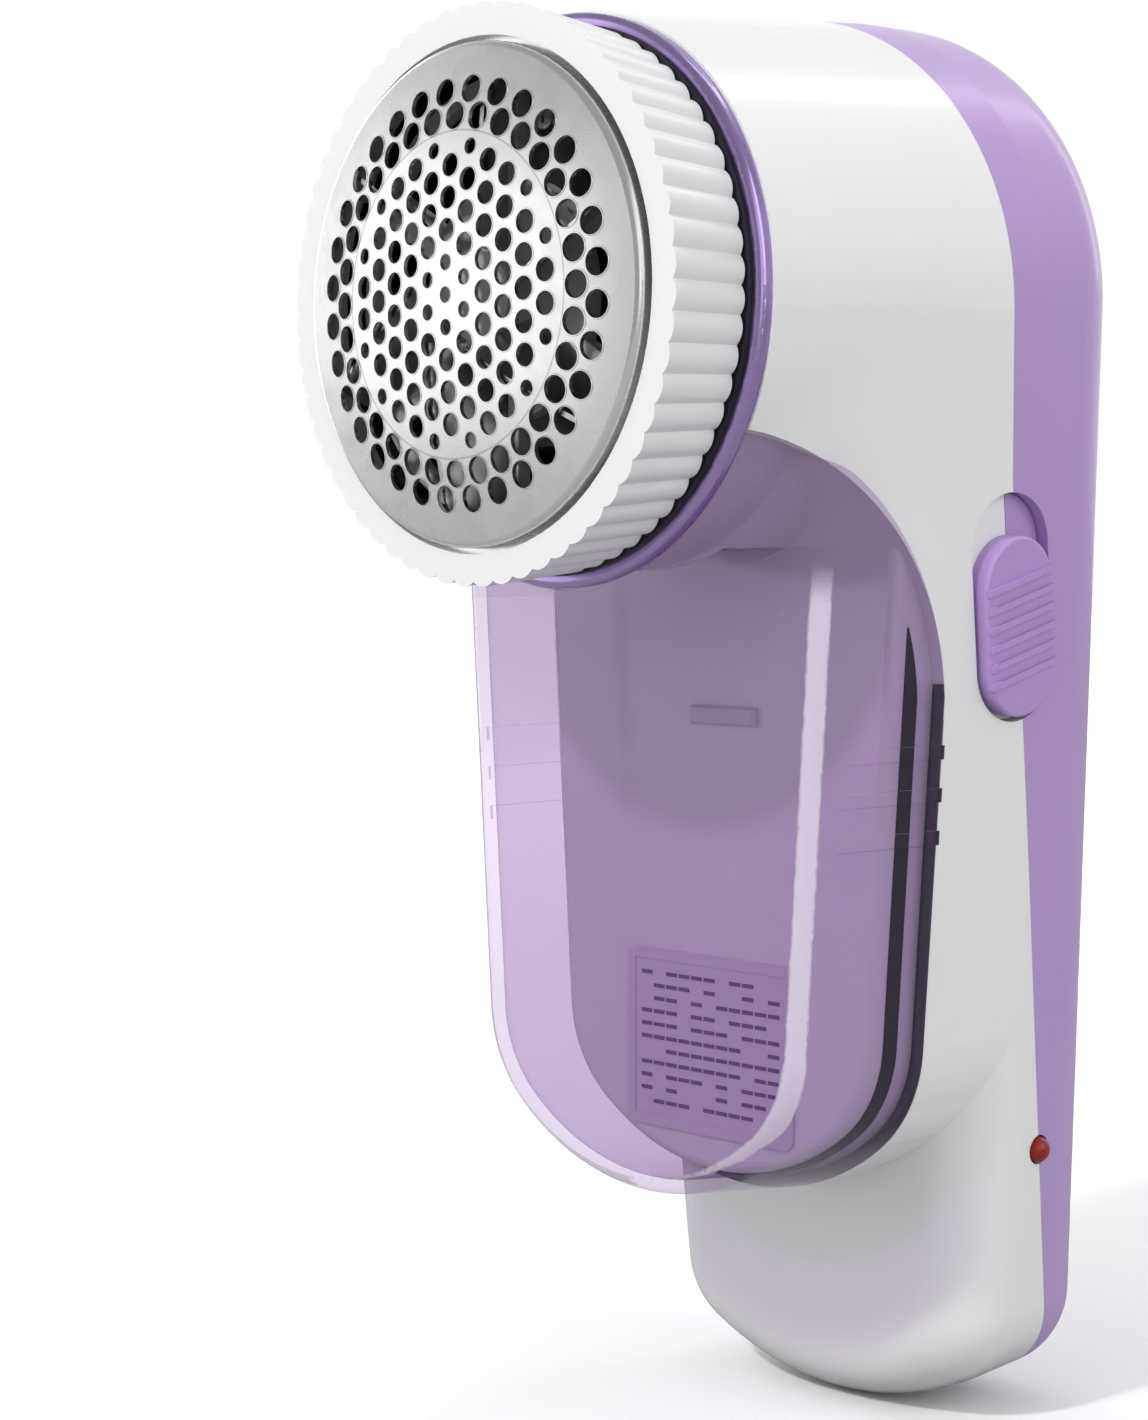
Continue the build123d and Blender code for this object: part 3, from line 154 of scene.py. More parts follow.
class ShaverStage(bpy.types.PropertyGroup):
    floor: colour("Floor", "Colour of the floor", (0.90, 0.90, 0.91))
    near: share("Near glow", "Light added to the floor under the part", 0.0)
    far: share("Far glow", "Light added to the floor far away", 0.50)
    bounce: share("Bounce", "How much the floor lights the part", 0.40)
    key: FloatProperty(name="Key light", description="Power of the lamps", default=6.6,
                       unit="POWER")
    fill: share("Fill", "Strength of the room light", 0.66)
    low: share("Low light", "Room light from below over that from above", 0.95)
    pale: share("Pale side", "Mirrored room's light on its pale side", 1.0)
    dusk: share("Dusky side", "Mirrored room's light on its dusky side", 0.42)
    reach: length("Lamp reach", "Distance of the lamps from the middle of the part", 0.95)
    lens: FloatProperty(name="Lens", description="Focal length", default=75.1, unit="CAMERA")
    turn: angle("Turn", "Way round the part that the camera looks from", 47.4532)
    rise: angle("Rise", "Height angle that the camera looks from", 3.1834)
    stand: FloatVectorProperty(name="Stand", description="Camera's place from the head's centre",
                               default=(0.22867, -0.19414, -0.02507), size=3, subtype="TRANSLATION")


# ---------------------------------------------------------------- material helpers
MOTTLE_SCALE = 140.0                       # of the slight clouds in moulded plastic, per metre
GRAIN_HEIGHT, SCRATCH_HEIGHT, TURNED_HEIGHT = 0.00004, 0.00003, 0.00002


def new_material(name):
    material = bpy.data.materials.new(name)
    material.use_nodes = True
    material.node_tree.nodes.clear()
    return material, material.node_tree


def node(tree, kind, **values):
    """New shader node. Keys with a leading underscore are properties, the others are inputs."""
    made = tree.nodes.new(kind)
    for key, value in values.items():
        if key.startswith("_"):
            setattr(made, key[1:], value)
        else:
            made.inputs[key.replace("_", " ")].default_value = value
    return made


def link(tree, source, target):
    tree.links.new(source, target)


def sums(tree, operation, *terms):
    """Result of one sum on sockets and numbers."""
    made = node(tree, "ShaderNodeMath", _operation=operation)
    for term, target in zip(terms, made.inputs):
        if isinstance(term, (int, float)):
            target.default_value = term
        else:
            link(tree, term, target)
    return made.outputs["Value"]


def opaque(tint, level=1.0):
    """A colour with full alpha, times a level."""
    return (*[channel * level for channel in tint], 1)


def object_place(tree):
    return node(tree, "ShaderNodeTexCoord").outputs["Object"]


def blend(tree, factor, first, second):
    """Mix of two colours, each a socket or an opaque colour."""
    mix = node(tree, "ShaderNodeMix", _data_type="RGBA")
    link(tree, factor, mix.inputs["Factor"])
    for source, target in ((first, mix.inputs["A"]), (second, mix.inputs["B"])):
        if isinstance(source, tuple):
            target.default_value = source
        else:
            link(tree, source, target)
    return mix.outputs["Result"]


def roughened(tree, shader, source, strength, distance):
    """Relief on a shader from a height."""
    relief = node(tree, "ShaderNodeBump", Strength=strength, Distance=distance)
    link(tree, source, relief.inputs["Height"])
    link(tree, relief.outputs["Normal"], shader.inputs["Normal"])


def mixed(tree, factor, first, second):
    """Mix of two shaders."""
    mix = node(tree, "ShaderNodeMixShader")
    for source, target in zip((factor, first, second), mix.inputs):
        link(tree, source, target)
    return mix.outputs["Shader"]


def rays(tree, *names):
    """1 for the rays named, 0 for the others."""
    path = node(tree, "ShaderNodeLightPath")
    value = path.outputs[names[0]]
    for name in names[1:]:
        value = sums(tree, "MAXIMUM", value, path.outputs[name])
    return value


def object_noise(tree, scale, detail=2.0, stretch=(1, 1, 1)):
    """Noise on object coordinates, at a scale per metre."""
    spread = node(tree, "ShaderNodeMapping")
    spread.inputs["Scale"].default_value = stretch
    noise = node(tree, "ShaderNodeTexNoise", Scale=scale, Detail=detail)
    link(tree, object_place(tree), spread.inputs["Vector"])
    link(tree, spread.outputs["Vector"], noise.inputs["Vector"])
    return noise.outputs["Fac"]


def ranged(tree, source, low, high, start=0.3, end=0.7):
    """Maps a value from start..end to low..high."""
    mapped = node(tree, "ShaderNodeMapRange")
    mapped.inputs["From Min"].default_value = start
    mapped.inputs["From Max"].default_value = end
    mapped.inputs["To Min"].default_value = low
    mapped.inputs["To Max"].default_value = high
    link(tree, source, mapped.inputs["Value"])
    return mapped.outputs["Result"]


def shaded(name):
    """New material with a Principled shader on its surface."""
    material, tree = new_material(name)
    out = node(tree, "ShaderNodeOutputMaterial")
    shader = node(tree, "ShaderNodeBsdfPrincipled")
    link(tree, shader.outputs["BSDF"], out.inputs["Surface"])
    return material, tree, shader


def plastic(name, tint, rough=0.25, coat=0.0, mottle=0.03, grain=9000, bump=0.02):
    """Moulded plastic: slight mottle in colour, moulded grain and uneven gloss."""
    material, tree, shader = shaded(name)
    shader.inputs["IOR"].default_value = 1.5
    shader.inputs["Coat Weight"].default_value = coat
    shader.inputs["Coat Roughness"].default_value = 0.10
    cloud = object_noise(tree, MOTTLE_SCALE)
    colours = blend(tree, cloud, opaque(tint, 1 - mottle), opaque(tint, 1 + mottle))
    link(tree, colours, shader.inputs["Base Color"])
    link(tree, ranged(tree, cloud, rough * 0.9, rough * 1.1, 0.0, 1.0), shader.inputs["Roughness"])
    roughened(tree, shader, object_noise(tree, grain, 1.0), bump, GRAIN_HEIGHT)
    return material


def two_tone(name, front, behind, point, across, rough=0.26):
    """Moulded plastic in two colours that meet in a dark joint line along a plane."""
    blur, line, line_end, line_level = 0.00002, 0.00003, 0.00008, 0.25
    material = plastic(name, front, rough, coat=0.4, mottle=0.01)
    tree = material.node_tree
    shader = next(item for item in tree.nodes if item.type == "BSDF_PRINCIPLED")
    before = shader.inputs["Base Color"].links[0].from_socket
    reach = node(tree, "ShaderNodeVectorMath", _operation="DOT_PRODUCT")
    reach.inputs[1].default_value = across
    link(tree, object_place(tree), reach.inputs[0])
    past = point.dot(across)
    side = ranged(tree, reach.outputs["Value"], 0.0, 1.0, past - blur, past + blur)
    colours = blend(tree, side, before, opaque(behind))
    gap = sums(tree, "ABSOLUTE", sums(tree, "SUBTRACT", reach.outputs["Value"], past))
    beside = ranged(tree, gap, 0.0, 1.0, line, line_end)
    dark = opaque(behind, line_level)
    link(tree, blend(tree, beside, dark, colours), shader.inputs["Base Color"])
    return material


def metal(name, tint, rough=0.25, stretch=(1, 1, 1), grain=3000, bump=0.05, coat=0.0):
    """Metal with fine scratches along one way."""
    material, tree, shader = shaded(name)
    shader.inputs["Metallic"].default_value = 1.0
    shader.inputs["Coat Weight"].default_value = coat
    shader.inputs["Coat Roughness"].default_value = 0.05
    scratch = object_noise(tree, grain, 3.0, stretch)
    link(tree, blend(tree, scratch, opaque(tint, 0.93), opaque(tint)), shader.inputs["Base Color"])
    link(tree, ranged(tree, scratch, rough * 0.8, rough * 1.25), shader.inputs["Roughness"])
    roughened(tree, shader, scratch, bump, SCRATCH_HEIGHT)
    return material


def foil_metal(name, tint):
    """Polished sheet steel with fine rings turned about the head's axis."""
    line, line_end, line_level = 0.00004, 0.00012, 0.62
    material, tree, shader = shaded(name)
    shader.inputs["Metallic"].default_value = 1.0
    centre = node(tree, "ShaderNodeMapping")
    centre.inputs["Location"].default_value = -HEAD_CENTRE
    link(tree, object_place(tree), centre.inputs["Vector"])
    flat = node(tree, "ShaderNodeVectorMath", _operation="MULTIPLY")
    flat.inputs[1].default_value = (1, 0, 1)
    link(tree, centre.outputs["Vector"], flat.inputs[0])
    radius = node(tree, "ShaderNodeVectorMath", _operation="LENGTH")
    link(tree, flat.outputs["Vector"], radius.inputs[0])
    rings = node(tree, "ShaderNodeTexNoise", _noise_dimensions="1D", Scale=9000, Detail=3.0)
    link(tree, radius.outputs["Value"], rings.inputs["W"])
    sheet = blend(tree, rings.outputs["Fac"], opaque(tint, 0.95), opaque(tint))
    groove = bpy.context.scene.shaver_foil.groove
    gap = sums(tree, "ABSOLUTE", sums(tree, "SUBTRACT", radius.outputs["Value"], groove))
    beside = ranged(tree, gap, 0.0, 1.0, line, line_end)
    dark = opaque(tint, line_level)
    link(tree, blend(tree, beside, dark, sheet), shader.inputs["Base Color"])
    cloud = object_noise(tree, 400.0, 3.0)
    link(tree, ranged(tree, cloud, 0.24, 0.32), shader.inputs["Roughness"])
    roughened(tree, shader, rings.outputs["Fac"], 0.08, TURNED_HEIGHT)
    return material


def clear_plastic(name, tint, shade):
    """Thin tinted clear plastic: it dims what lies behind it, mirrors at its edges and has painted
    highlights along its rounded edges.
    """
    # where the painted highlight strips start and end, how white they are and how they fade at the
    # top
    highlight_start, highlight_end, highlight_white, highlight_fade = 0.70, 0.80, 0.05, 0.004
    values = bpy.context.scene.shaver_bin
    material, tree = new_material(name)
    out = node(tree, "ShaderNodeOutputMaterial")
    path = node(tree, "ShaderNodeLightPath")
    through = node(tree, "ShaderNodeBsdfTransparent")
    through.inputs["Color"].default_value = opaque([channel ** 0.5 for channel in tint])
    dimmed = node(tree, "ShaderNodeBsdfTransparent")
    dimmed.inputs["Color"].default_value = opaque(shade)
    passed = mixed(tree, path.outputs["Is Shadow Ray"], through.outputs["BSDF"],
                   dimmed.outputs["BSDF"])
    # only the near side of each wall mirrors, and only for rays that aren't shadows
    gloss = node(tree, "ShaderNodeBsdfPrincipled", Roughness=0.06)
    gloss.inputs["Base Color"].default_value = opaque(tint)
    gloss.inputs["Specular IOR Level"].default_value = 1.0
    edge = node(tree, "ShaderNodeFresnel", IOR=1.38)
    sides = node(tree, "ShaderNodeNewGeometry")
    plain = sums(tree, "MAXIMUM", path.outputs["Is Shadow Ray"], sides.outputs["Backfacing"])
    mirror = sums(tree, "MULTIPLY", edge.outputs["Fac"], sums(tree, "SUBTRACT", 1.0, plain))
    wall = mixed(tree, mirror, passed, gloss.outputs["BSDF"])
    # painted highlight: pale strips along the rounded edges, up to a height
    pale = node(tree, "ShaderNodeBsdfPrincipled", Roughness=0.12)
    highlight_tint = [highlight_white + (1 - highlight_white) * channel for channel in tint]
    pale.inputs["Base Color"].default_value = opaque(highlight_tint)
    bend = node(tree, "ShaderNodeAttribute", _attribute_name="bend")
    highlight_mask = ranged(tree, bend.outputs["Fac"], 0.0, values.edge, highlight_start, highlight_end)
    parts = node(tree, "ShaderNodeSeparateXYZ")
    link(tree, object_place(tree), parts.inputs["Vector"])
    top = HEAD_CENTRE.z - values.highlight_top
    below = ranged(tree, parts.outputs["Z"], 1.0, 0.0, top - highlight_fade, top)
    whole = mixed(tree, sums(tree, "MULTIPLY", highlight_mask, below), wall, pale.outputs["BSDF"])
    link(tree, whole, out.inputs["Surface"])
    return material


MATERIALS = {}


def finish_of(key):
    """A shared finish by its short name, made on first use."""
    if key in MATERIALS:
        return MATERIALS[key]
    tones = bpy.context.scene.shaver_finish
    makers = {
        "shell": lambda: plastic("pearl_white_shell", tones.shell, rough=0.26, coat=0.9,
                                 mottle=0.01, grain=6000, bump=0.015),
        "lilac": lambda: plastic("lilac_shell", tones.lilac, rough=0.30, coat=0.15,
                                 mottle=0.02, grain=6000, bump=0.015),
        "ring": lambda: plastic("white_ring", tones.ring, rough=0.35, coat=0.2,
                                mottle=0.015, bump=0.03),
        "slider": lambda: plastic("slider_lilac", tones.slider, rough=0.38, coat=0.1,
                                  mottle=0.02, bump=0.05),
        "guide": lambda: two_tone("guide_two_tone", tones.shell, tones.lilac,
                                  SEAM_SPOT, SEAM_ACROSS),
        "lamp": lambda: plastic("lamp_red", tones.lamp, rough=0.35, mottle=0.05, bump=0.0),
        "clear": lambda: clear_plastic("tinted_clear_painted_highlight", tones.clear, tones.shade),
        # painted shade: near-black violet of the bin's rear rim
        "rim": lambda: plastic("bin_rim_painted_shade", (0.022, 0.014, 0.034), rough=0.15, coat=0.5,
                               mottle=0.1, bump=0.0),
        "rubber": lambda: plastic("black_rubber", (0.012, 0.010, 0.018), rough=0.5,
                                  mottle=0.2, grain=12000, bump=0.2),
        "dark": lambda: plastic("dark_moulding", (0.012, 0.012, 0.014), rough=0.4,
                                mottle=0.2, grain=12000, bump=0.1),
        "cutter": lambda: plastic("cutter_white", (0.42, 0.42, 0.42), rough=0.4, bump=0.05),
        "hub": lambda: plastic("hub_grey", (0.17, 0.17, 0.18), rough=0.4, mottle=0.05, bump=0.05),
        "catch": lambda: plastic("catch_white", (0.7, 0.7, 0.72), rough=0.3, coat=0.2, mottle=0.02),
        "plate": lambda: plastic("plate_grey", (0.66, 0.63, 0.70), rough=0.3, coat=0.2),
        "plate_ink": lambda: plastic("plate_violet", (0.17, 0.09, 0.25), rough=0.4, mottle=0.05),
        "board": lambda: plastic("board_green", (0.01, 0.09, 0.04), rough=0.35, coat=0.3,
                                 mottle=0.15),
        "wrap": lambda: plastic("cell_wrap", (0.03, 0.12, 0.35), coat=0.5),
        "cap": lambda: plastic("cap_ivory", (0.72, 0.69, 0.62), rough=0.45),
        "magnet": lambda: plastic("magnet_grey", (0.035, 0.035, 0.038), rough=0.55,
                                  mottle=0.2, bump=0.3),
        "steel": lambda: foil_metal("foil_steel", tones.steel),
        "lip": lambda: metal("foil_lip_steel", tones.steel, rough=0.22),
        "trim": lambda: metal("violet_metallic", tones.trim, rough=0.28, grain=300,
                              bump=0.0, coat=0.6),
        "blade": lambda: metal("blade_steel", (0.56, 0.57, 0.58), rough=0.2, stretch=(1, 30, 1)),
        "zinc": lambda: metal("zinc_steel", (0.60, 0.60, 0.61), rough=0.3),
        "nickel": lambda: metal("nickel_strip", (0.66, 0.64, 0.60), stretch=(1, 1, 20)),
        "core": lambda: metal("laminated_core", (0.22, 0.20, 0.19), rough=0.5,
                              stretch=(1, 60, 1), bump=0.4),
        "bronze": lambda: metal("bush_bronze", (0.55, 0.33, 0.13), rough=0.35),
    }
    MATERIALS[key] = makers[key]()
    return MATERIALS[key]


# ---------------------------------------------------------------- mesh helpers
WELD = 2e-7                                # vertices closer than this become one


def paint(obj, material):
    obj.data.materials.clear()
    obj.data.materials.append(material)


def smooth(obj, angle=35.0):
    """Smooth faces with sharp edges past an angle."""
    for face in obj.data.polygons:
        face.use_smooth = True
    obj.data.set_sharp_from_angle(angle=math.radians(angle))


def apply_modifiers(obj):
    """Turns an object's modifiers into plain mesh."""
    graph = bpy.context.evaluated_depsgraph_get()
    made = bpy.data.meshes.new_from_object(obj.evaluated_get(graph))
    obj.modifiers.clear()
    obj.data = made
    return obj


def merged_copy(cad, name, plane=None):
    """Welded copy of a CAD node that keeps the node's exact surface normals.

    A plane (point, direction, which side goes) keeps only one side of the node.
    """
    source = nodes[cad].data.copy()
    exact = source.attributes.new("exact", "FLOAT_VECTOR", "CORNER")
    for item, corner in zip(exact.data, source.corner_normals):
        item.vector = corner.vector
    shape = bmesh.new()
    shape.from_mesh(source)
    bmesh.ops.remove_doubles(shape, verts=shape.verts, dist=WELD)
    if plane:
        point, way, inner = plane
        bmesh.ops.bisect_plane(shape, geom=shape.verts[:] + shape.edges[:] + shape.faces[:],
                               plane_co=point, plane_no=way,
                               clear_inner=inner, clear_outer=not inner)
    mesh = bpy.data.meshes.new(name)
    shape.to_mesh(mesh)
    shape.free()
    bpy.data.meshes.remove(source)
    obj = bpy.data.objects.new(name, mesh)
    bpy.context.scene.collection.objects.link(obj)
    smooth(obj)
    normals = [tuple(item.vector) for item in mesh.attributes["exact"].data]
    mesh.attributes.remove(mesh.attributes["exact"])
    mesh.normals_split_custom_set(normals)
    return obj


def clipped(value):
    return min(1, max(0, value))


def mark_bends(obj):
    """Notes, for the painted highlight, whether each corner's outward normal stands halfway between
    front and side.

    The mark fades towards foot and top, and the upper middle of the bin has none.
    """
    plain_share, left_level = 0.75, 0.9          # of the half width, and of the left edge
    foot_end, foot_fade, top_end = 0.85, 0.35, 0.9
    mesh = obj.data
    marks = mesh.attributes.new("bend", "FLOAT", "CORNER")
    side, half_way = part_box("lint_bin")[1].x * plain_share, middle("lint_bin").z
    for corner, item, loop in zip(marks.data, mesh.corner_normals, mesh.loops):
        x, y, z = item.vector
        spot = mesh.vertices[loop.vertex_index].co
        if y >= 0 or (abs(spot.x) < side and spot.z > half_way):
            continue
        upright = clipped((foot_end - abs(z)) / foot_fade) if x > 0 else left_level
        corner.value = 4 * y * y * (1 - y * y) * upright * clipped(top_end - z)


def body_name(cad):
    return nodes[cad]["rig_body"]


def skin(cad, name, key):
    """A finished copy of a node on the node's own body."""
    obj = merged_copy(cad, name)
    paint(obj, finish_of(key))
    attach(obj, body_name(cad))
    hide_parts(cad)
    return obj


# ---------------------------------------------------------------- geometry nodes helpers
SOCKETS = {"int": "NodeSocketInt", "float": "NodeSocketFloat", "material": "NodeSocketMaterial"}


class Rule:
    """Geometry Nodes group with named inputs, which ends in realised instances."""

    def __init__(self, name, inputs):
        self.tree = bpy.data.node_groups.new(name, "GeometryNodeTree")
        face = self.tree.interface
        self.ids = {}
        for label, kind, value in inputs:
            socket = face.new_socket(label, in_out="INPUT", socket_type=SOCKETS[kind])
            self.ids[label] = (socket.identifier, value)
        face.new_socket("Geometry", in_out="OUTPUT", socket_type="NodeSocketGeometry")
        self.start = self.tree.nodes.new("NodeGroupInput")
        self.end = self.tree.nodes.new("NodeGroupOutput")

    def given(self, label):
        return self.start.outputs[label]

    def add(self, kind, links=None, **values):
        made = node(self.tree, kind, **values)
        for key, source in (links or {}).items():
            target = made.inputs[key]
            if hasattr(source, "outputs"):
                source = source.outputs[0]
            if isinstance(source, (int, float)):
                target.default_value = source
            else:
                self.tree.links.new(source, target)
        return made

    def math(self, operation, first, second=0.0, third=0.0):
        ways = {0: first, 1: second}
        if operation in {"MULTIPLY_ADD", "COMPARE", "WRAP"}:
            ways[2] = third
        return self.add("ShaderNodeMath", ways, _operation=operation).outputs[0]

    def spot(self, x, y, z):
        return self.add("ShaderNodeCombineXYZ", {0: x, 1: y, 2: z}).outputs[0]

    def turned(self, shape, x=0, y=0, z=0):
        return self.add("GeometryNodeTransform", {0: shape, "Rotation": self.spot(x, y, z)})

    def shifted(self, shape, x=0, y=0, z=0):
        return self.add("GeometryNodeTransform", {0: shape, "Translation": self.spot(x, y, z)})

    def joined(self, *shapes):
        whole = self.add("GeometryNodeJoinGeometry")
        for shape in shapes:
            self.tree.links.new(shape.outputs[0], whole.inputs[0])
        return whole

    def cylinder(self, sides, radius, depth):
        """Cylinder along Z whose radius and depth are the inputs named."""
        return self.add("GeometryNodeMeshCylinder", {
            "Vertices": sides, "Radius": self.given(radius), "Depth": self.given(depth)})

    def finish(self, shape):
        flat = self.add("GeometryNodeRealizeInstances", {0: shape})
        done = self.add("GeometryNodeSetMaterial", {0: flat, "Material": self.given("Material")})
        self.tree.links.new(done.outputs[0], self.end.inputs[0])

    def make(self, name, **changed):
        """Object with this rule evaluated to plain mesh."""
        mesh = bpy.data.meshes.new(name)
        obj = bpy.data.objects.new(name, mesh)
        bpy.context.scene.collection.objects.link(obj)
        modifier = obj.modifiers.new("rule", "NODES")
        modifier.node_group = self.tree
        for label, (identifier, value) in self.ids.items():
            modifier[identifier] = changed.get(label.replace(" ", "_"), value)
        bpy.context.view_layer.update()
        return apply_modifiers(obj)


# ---------------------------------------------------------------- rules for what repeats
def hole_lip_rule(values):
    """Rolled lips round the holes: two rings of holes and a hexagonal lattice on the dome."""
    rule = Rule("foil hole lips", [
        ("Count", "int", 32), ("Outer ring", "float", 0.0205), ("Second ring", "float", 0.0179),
        ("Pitch", "float", 0.00324), ("Reach", "float", 0.0154), ("Core", "float", 0.004),
        ("Edge", "float", 0.001), ("Crown", "float", 0.00177), ("Hole", "float", 0.00135),
        ("Lip", "float", values.rim), ("Material", "material", finish_of("lip")),
    ])
    rings = []
    for label, start in (("Outer ring", 0.5), ("Second ring", 0.0)):
        circle = rule.add("GeometryNodeMeshCircle", {"Vertices": rule.given("Count"),
                                                     "Radius": rule.given(label)})
        step = rule.math("DIVIDE", 2 * math.pi * start, rule.given("Count"))
        spin = rule.turned(rule.turned(circle, x=math.pi / 2), y=step)
        rings.append(rule.add("GeometryNodeMeshToPoints", {0: spin}))
    # lattice: columns 0.866 pitch apart, every other one half a pitch up
    side = 15
    pitch = rule.given("Pitch")
    index = rule.add("GeometryNodeInputIndex").outputs[0]
    column = rule.math("SUBTRACT", rule.math("FLOOR", rule.math("DIVIDE", index, side)), side // 2)
    row = rule.math("SUBTRACT", rule.math("FLOORED_MODULO", index, side), side // 2)
    half = rule.math("MULTIPLY", rule.math("FLOORED_MODULO", column, 2), 0.5)
    x = rule.math("MULTIPLY", rule.math("MULTIPLY", column, math.sqrt(0.75)), pitch)
    z = rule.math("MULTIPLY", rule.math("ADD", row, half), pitch)
    lattice = rule.add("GeometryNodePoints", {"Count": side * side, "Position": rule.spot(x, 0, z)})
    place = rule.add("GeometryNodeInputPosition").outputs[0]
    radius = rule.add("ShaderNodeVectorMath", {0: place}, _operation="LENGTH").outputs["Value"]
    outside = rule.math("GREATER_THAN", radius, rule.given("Reach"))
    kept = rule.add("GeometryNodeDeleteGeometry", {0: lattice, "Selection": outside})
    at_edge = rule.math("GREATER_THAN", radius, rule.math("SUBTRACT", rule.given("Reach"),
                                                          rule.given("Edge")))
    small = rule.math("MAXIMUM", at_edge, rule.math("LESS_THAN", radius, rule.given("Core")))
    # the lattice's holes are smaller than the outer ones, and its edge and core smaller still
    less, still_less, slack = 0.148, 0.259, 0.0005
    in_lattice = rule.math("LESS_THAN", radius, rule.math("ADD", rule.given("Reach"), slack))
    shrink = rule.math("ADD", less, rule.math("MULTIPLY", small, still_less))
    scale = rule.math("SUBTRACT", 1.0, rule.math("MULTIPLY", in_lattice, shrink))
    every = rule.joined(kept, *rings)
    # height on the dome of radius s through the outer ring
    crown = rule.given("Crown")
    ring_r = rule.given("Outer ring")
    dome = rule.math("DIVIDE", rule.math("ADD", rule.math("MULTIPLY", ring_r, ring_r),
                                         rule.math("MULTIPLY", crown, crown)),
                     rule.math("MULTIPLY", crown, 2.0))
    fall = rule.math("SQRT", rule.math("SUBTRACT", rule.math("MULTIPLY", dome, dome),
                                       rule.math("MULTIPLY", radius, radius)))
    depth = rule.math("SUBTRACT", rule.math("SUBTRACT", dome, crown), fall)
    settled = rule.add("GeometryNodeSetPosition", {0: every, "Offset": rule.spot(0, depth, 0)})
    # the lip itself, its axis along Y
    half_lip = rule.math("MULTIPLY", rule.given("Lip"), 0.5)
    circle, profile = (
        rule.add("GeometryNodeCurvePrimitiveCircle", {"Radius": size, "Resolution": sides})
        for size, sides in ((rule.math("ADD", rule.given("Hole"), half_lip), 28), (half_lip, 6)))
    ring = rule.add("GeometryNodeCurveToMesh", {0: circle, "Profile Curve": profile})
    upright = rule.turned(ring, x=math.pi / 2)
    from_dome = rule.spot(0, rule.math("MULTIPLY", dome, -1), 0)
    normal = rule.add("ShaderNodeVectorMath", {0: place, 1: from_dome}, _operation="ADD")
    facing = rule.add("FunctionNodeAlignRotationToVector", {"Vector": normal}, _axis="Y")
    lips = rule.add("GeometryNodeInstanceOnPoints", {0: settled, "Instance": upright,
                                                     "Rotation": facing, "Scale": scale})
    rule.finish(rule.shifted(lips, *HEAD_CENTRE))
    return rule


def screw_rule():
    """Pan-head screw along Y with a cross recess, its head's top at the origin."""
    rule = Rule("cross head screw", [
        ("Head radius", "float", 0.0022), ("Head height", "float", 0.0015),
        ("Shank radius", "float", 0.0011), ("Length", "float", 0.01), ("Slot", "float", 0.0005),
        ("Depth", "float", 0.0009), ("Material", "material", finish_of("zinc")),
    ])
    half = rule.math("MULTIPLY", rule.given("Head height"), -0.5)
    head = rule.shifted(rule.cylinder(40, "Head radius", "Head height"), z=half)
    reach = rule.math("MULTIPLY", rule.given("Head radius"), 1.2)
    deep = rule.math("MULTIPLY", rule.given("Depth"), 2.0)
    slot = rule.given("Slot")
    cross = rule.joined(*[
        rule.add("GeometryNodeMeshCube", {"Size": size})
        for size in (rule.spot(reach, slot, deep), rule.spot(slot, reach, deep))])
    cut = rule.add("GeometryNodeMeshBoolean", _operation="DIFFERENCE", _solver="EXACT")
    rule.tree.links.new(head.outputs[0], cut.inputs["Mesh 1"])
    rule.tree.links.new(cross.outputs[0], cut.inputs["Mesh 2"])
    down = rule.math("SUBTRACT", rule.math("MULTIPLY", rule.given("Length"), -0.5),
                     rule.given("Head height"))
    shank = rule.shifted(rule.cylinder(24, "Shank radius", "Length"), z=down)
    rule.finish(rule.turned(rule.joined(shank, cut), x=-math.pi / 2))
    return rule


def plate_rule(low, high):
    """Rows of blank boxes in relief on the front of the rating plate."""
    rule = Rule("rating plate boxes", [
        ("Rows", "int", 11), ("Columns", "int", 11),
        ("Width", "float", high.x - low.x), ("Height", "float", high.z - low.z),
        ("Margin", "float", 0.002), ("Relief", "float", 0.00006), ("Fill", "float", 0.30),
        ("Breadth", "float", 0.86), ("Share kept", "float", 0.7),
        ("Material", "material", finish_of("plate_ink")),
    ])
    index = rule.add("GeometryNodeInputIndex").outputs[0]
    count = rule.math("MULTIPLY", rule.given("Rows"), rule.given("Columns"))
    column = rule.math("FLOORED_MODULO", index, rule.given("Columns"))
    row = rule.math("FLOOR", rule.math("DIVIDE", index, rule.given("Columns")))
    margins = rule.math("MULTIPLY", rule.given("Margin"), 2.0)
    cell_w, cell_h = (
        rule.math("DIVIDE", rule.math("SUBTRACT", rule.given(span), margins), rule.given(number))
        for span, number in (("Width", "Columns"), ("Height", "Rows")))
    edge_x = rule.math("ADD", rule.given("Margin"), low.x)
    edge_z = rule.math("ADD", rule.given("Margin"), low.z)
    x = rule.math("MULTIPLY_ADD", rule.math("ADD", column, 0.5), cell_w, edge_x)
    z = rule.math("MULTIPLY_ADD", rule.math("ADD", row, 0.5), cell_h, edge_z)
    spots = rule.add("GeometryNodePoints", {"Count": count, "Position": rule.spot(x, low.y, z)})
    chance = rule.add("FunctionNodeRandomValue", _data_type="FLOAT")
    chance.inputs["Seed"].default_value = 7
    kept = rule.add("GeometryNodeDeleteGeometry", {
        0: spots, "Selection": rule.math("GREATER_THAN", chance.outputs["Value"],
                                         rule.given("Share kept"))})
    size = rule.spot(rule.math("MULTIPLY", cell_w, rule.given("Breadth")),
                     rule.math("MULTIPLY", rule.given("Relief"), 2.0),
                     rule.math("MULTIPLY", cell_h, rule.given("Fill")))
    box = rule.add("GeometryNodeMeshCube", {"Size": size})
    rule.finish(rule.add("GeometryNodeInstanceOnPoints", {0: kept, "Instance": box}))
    return rule


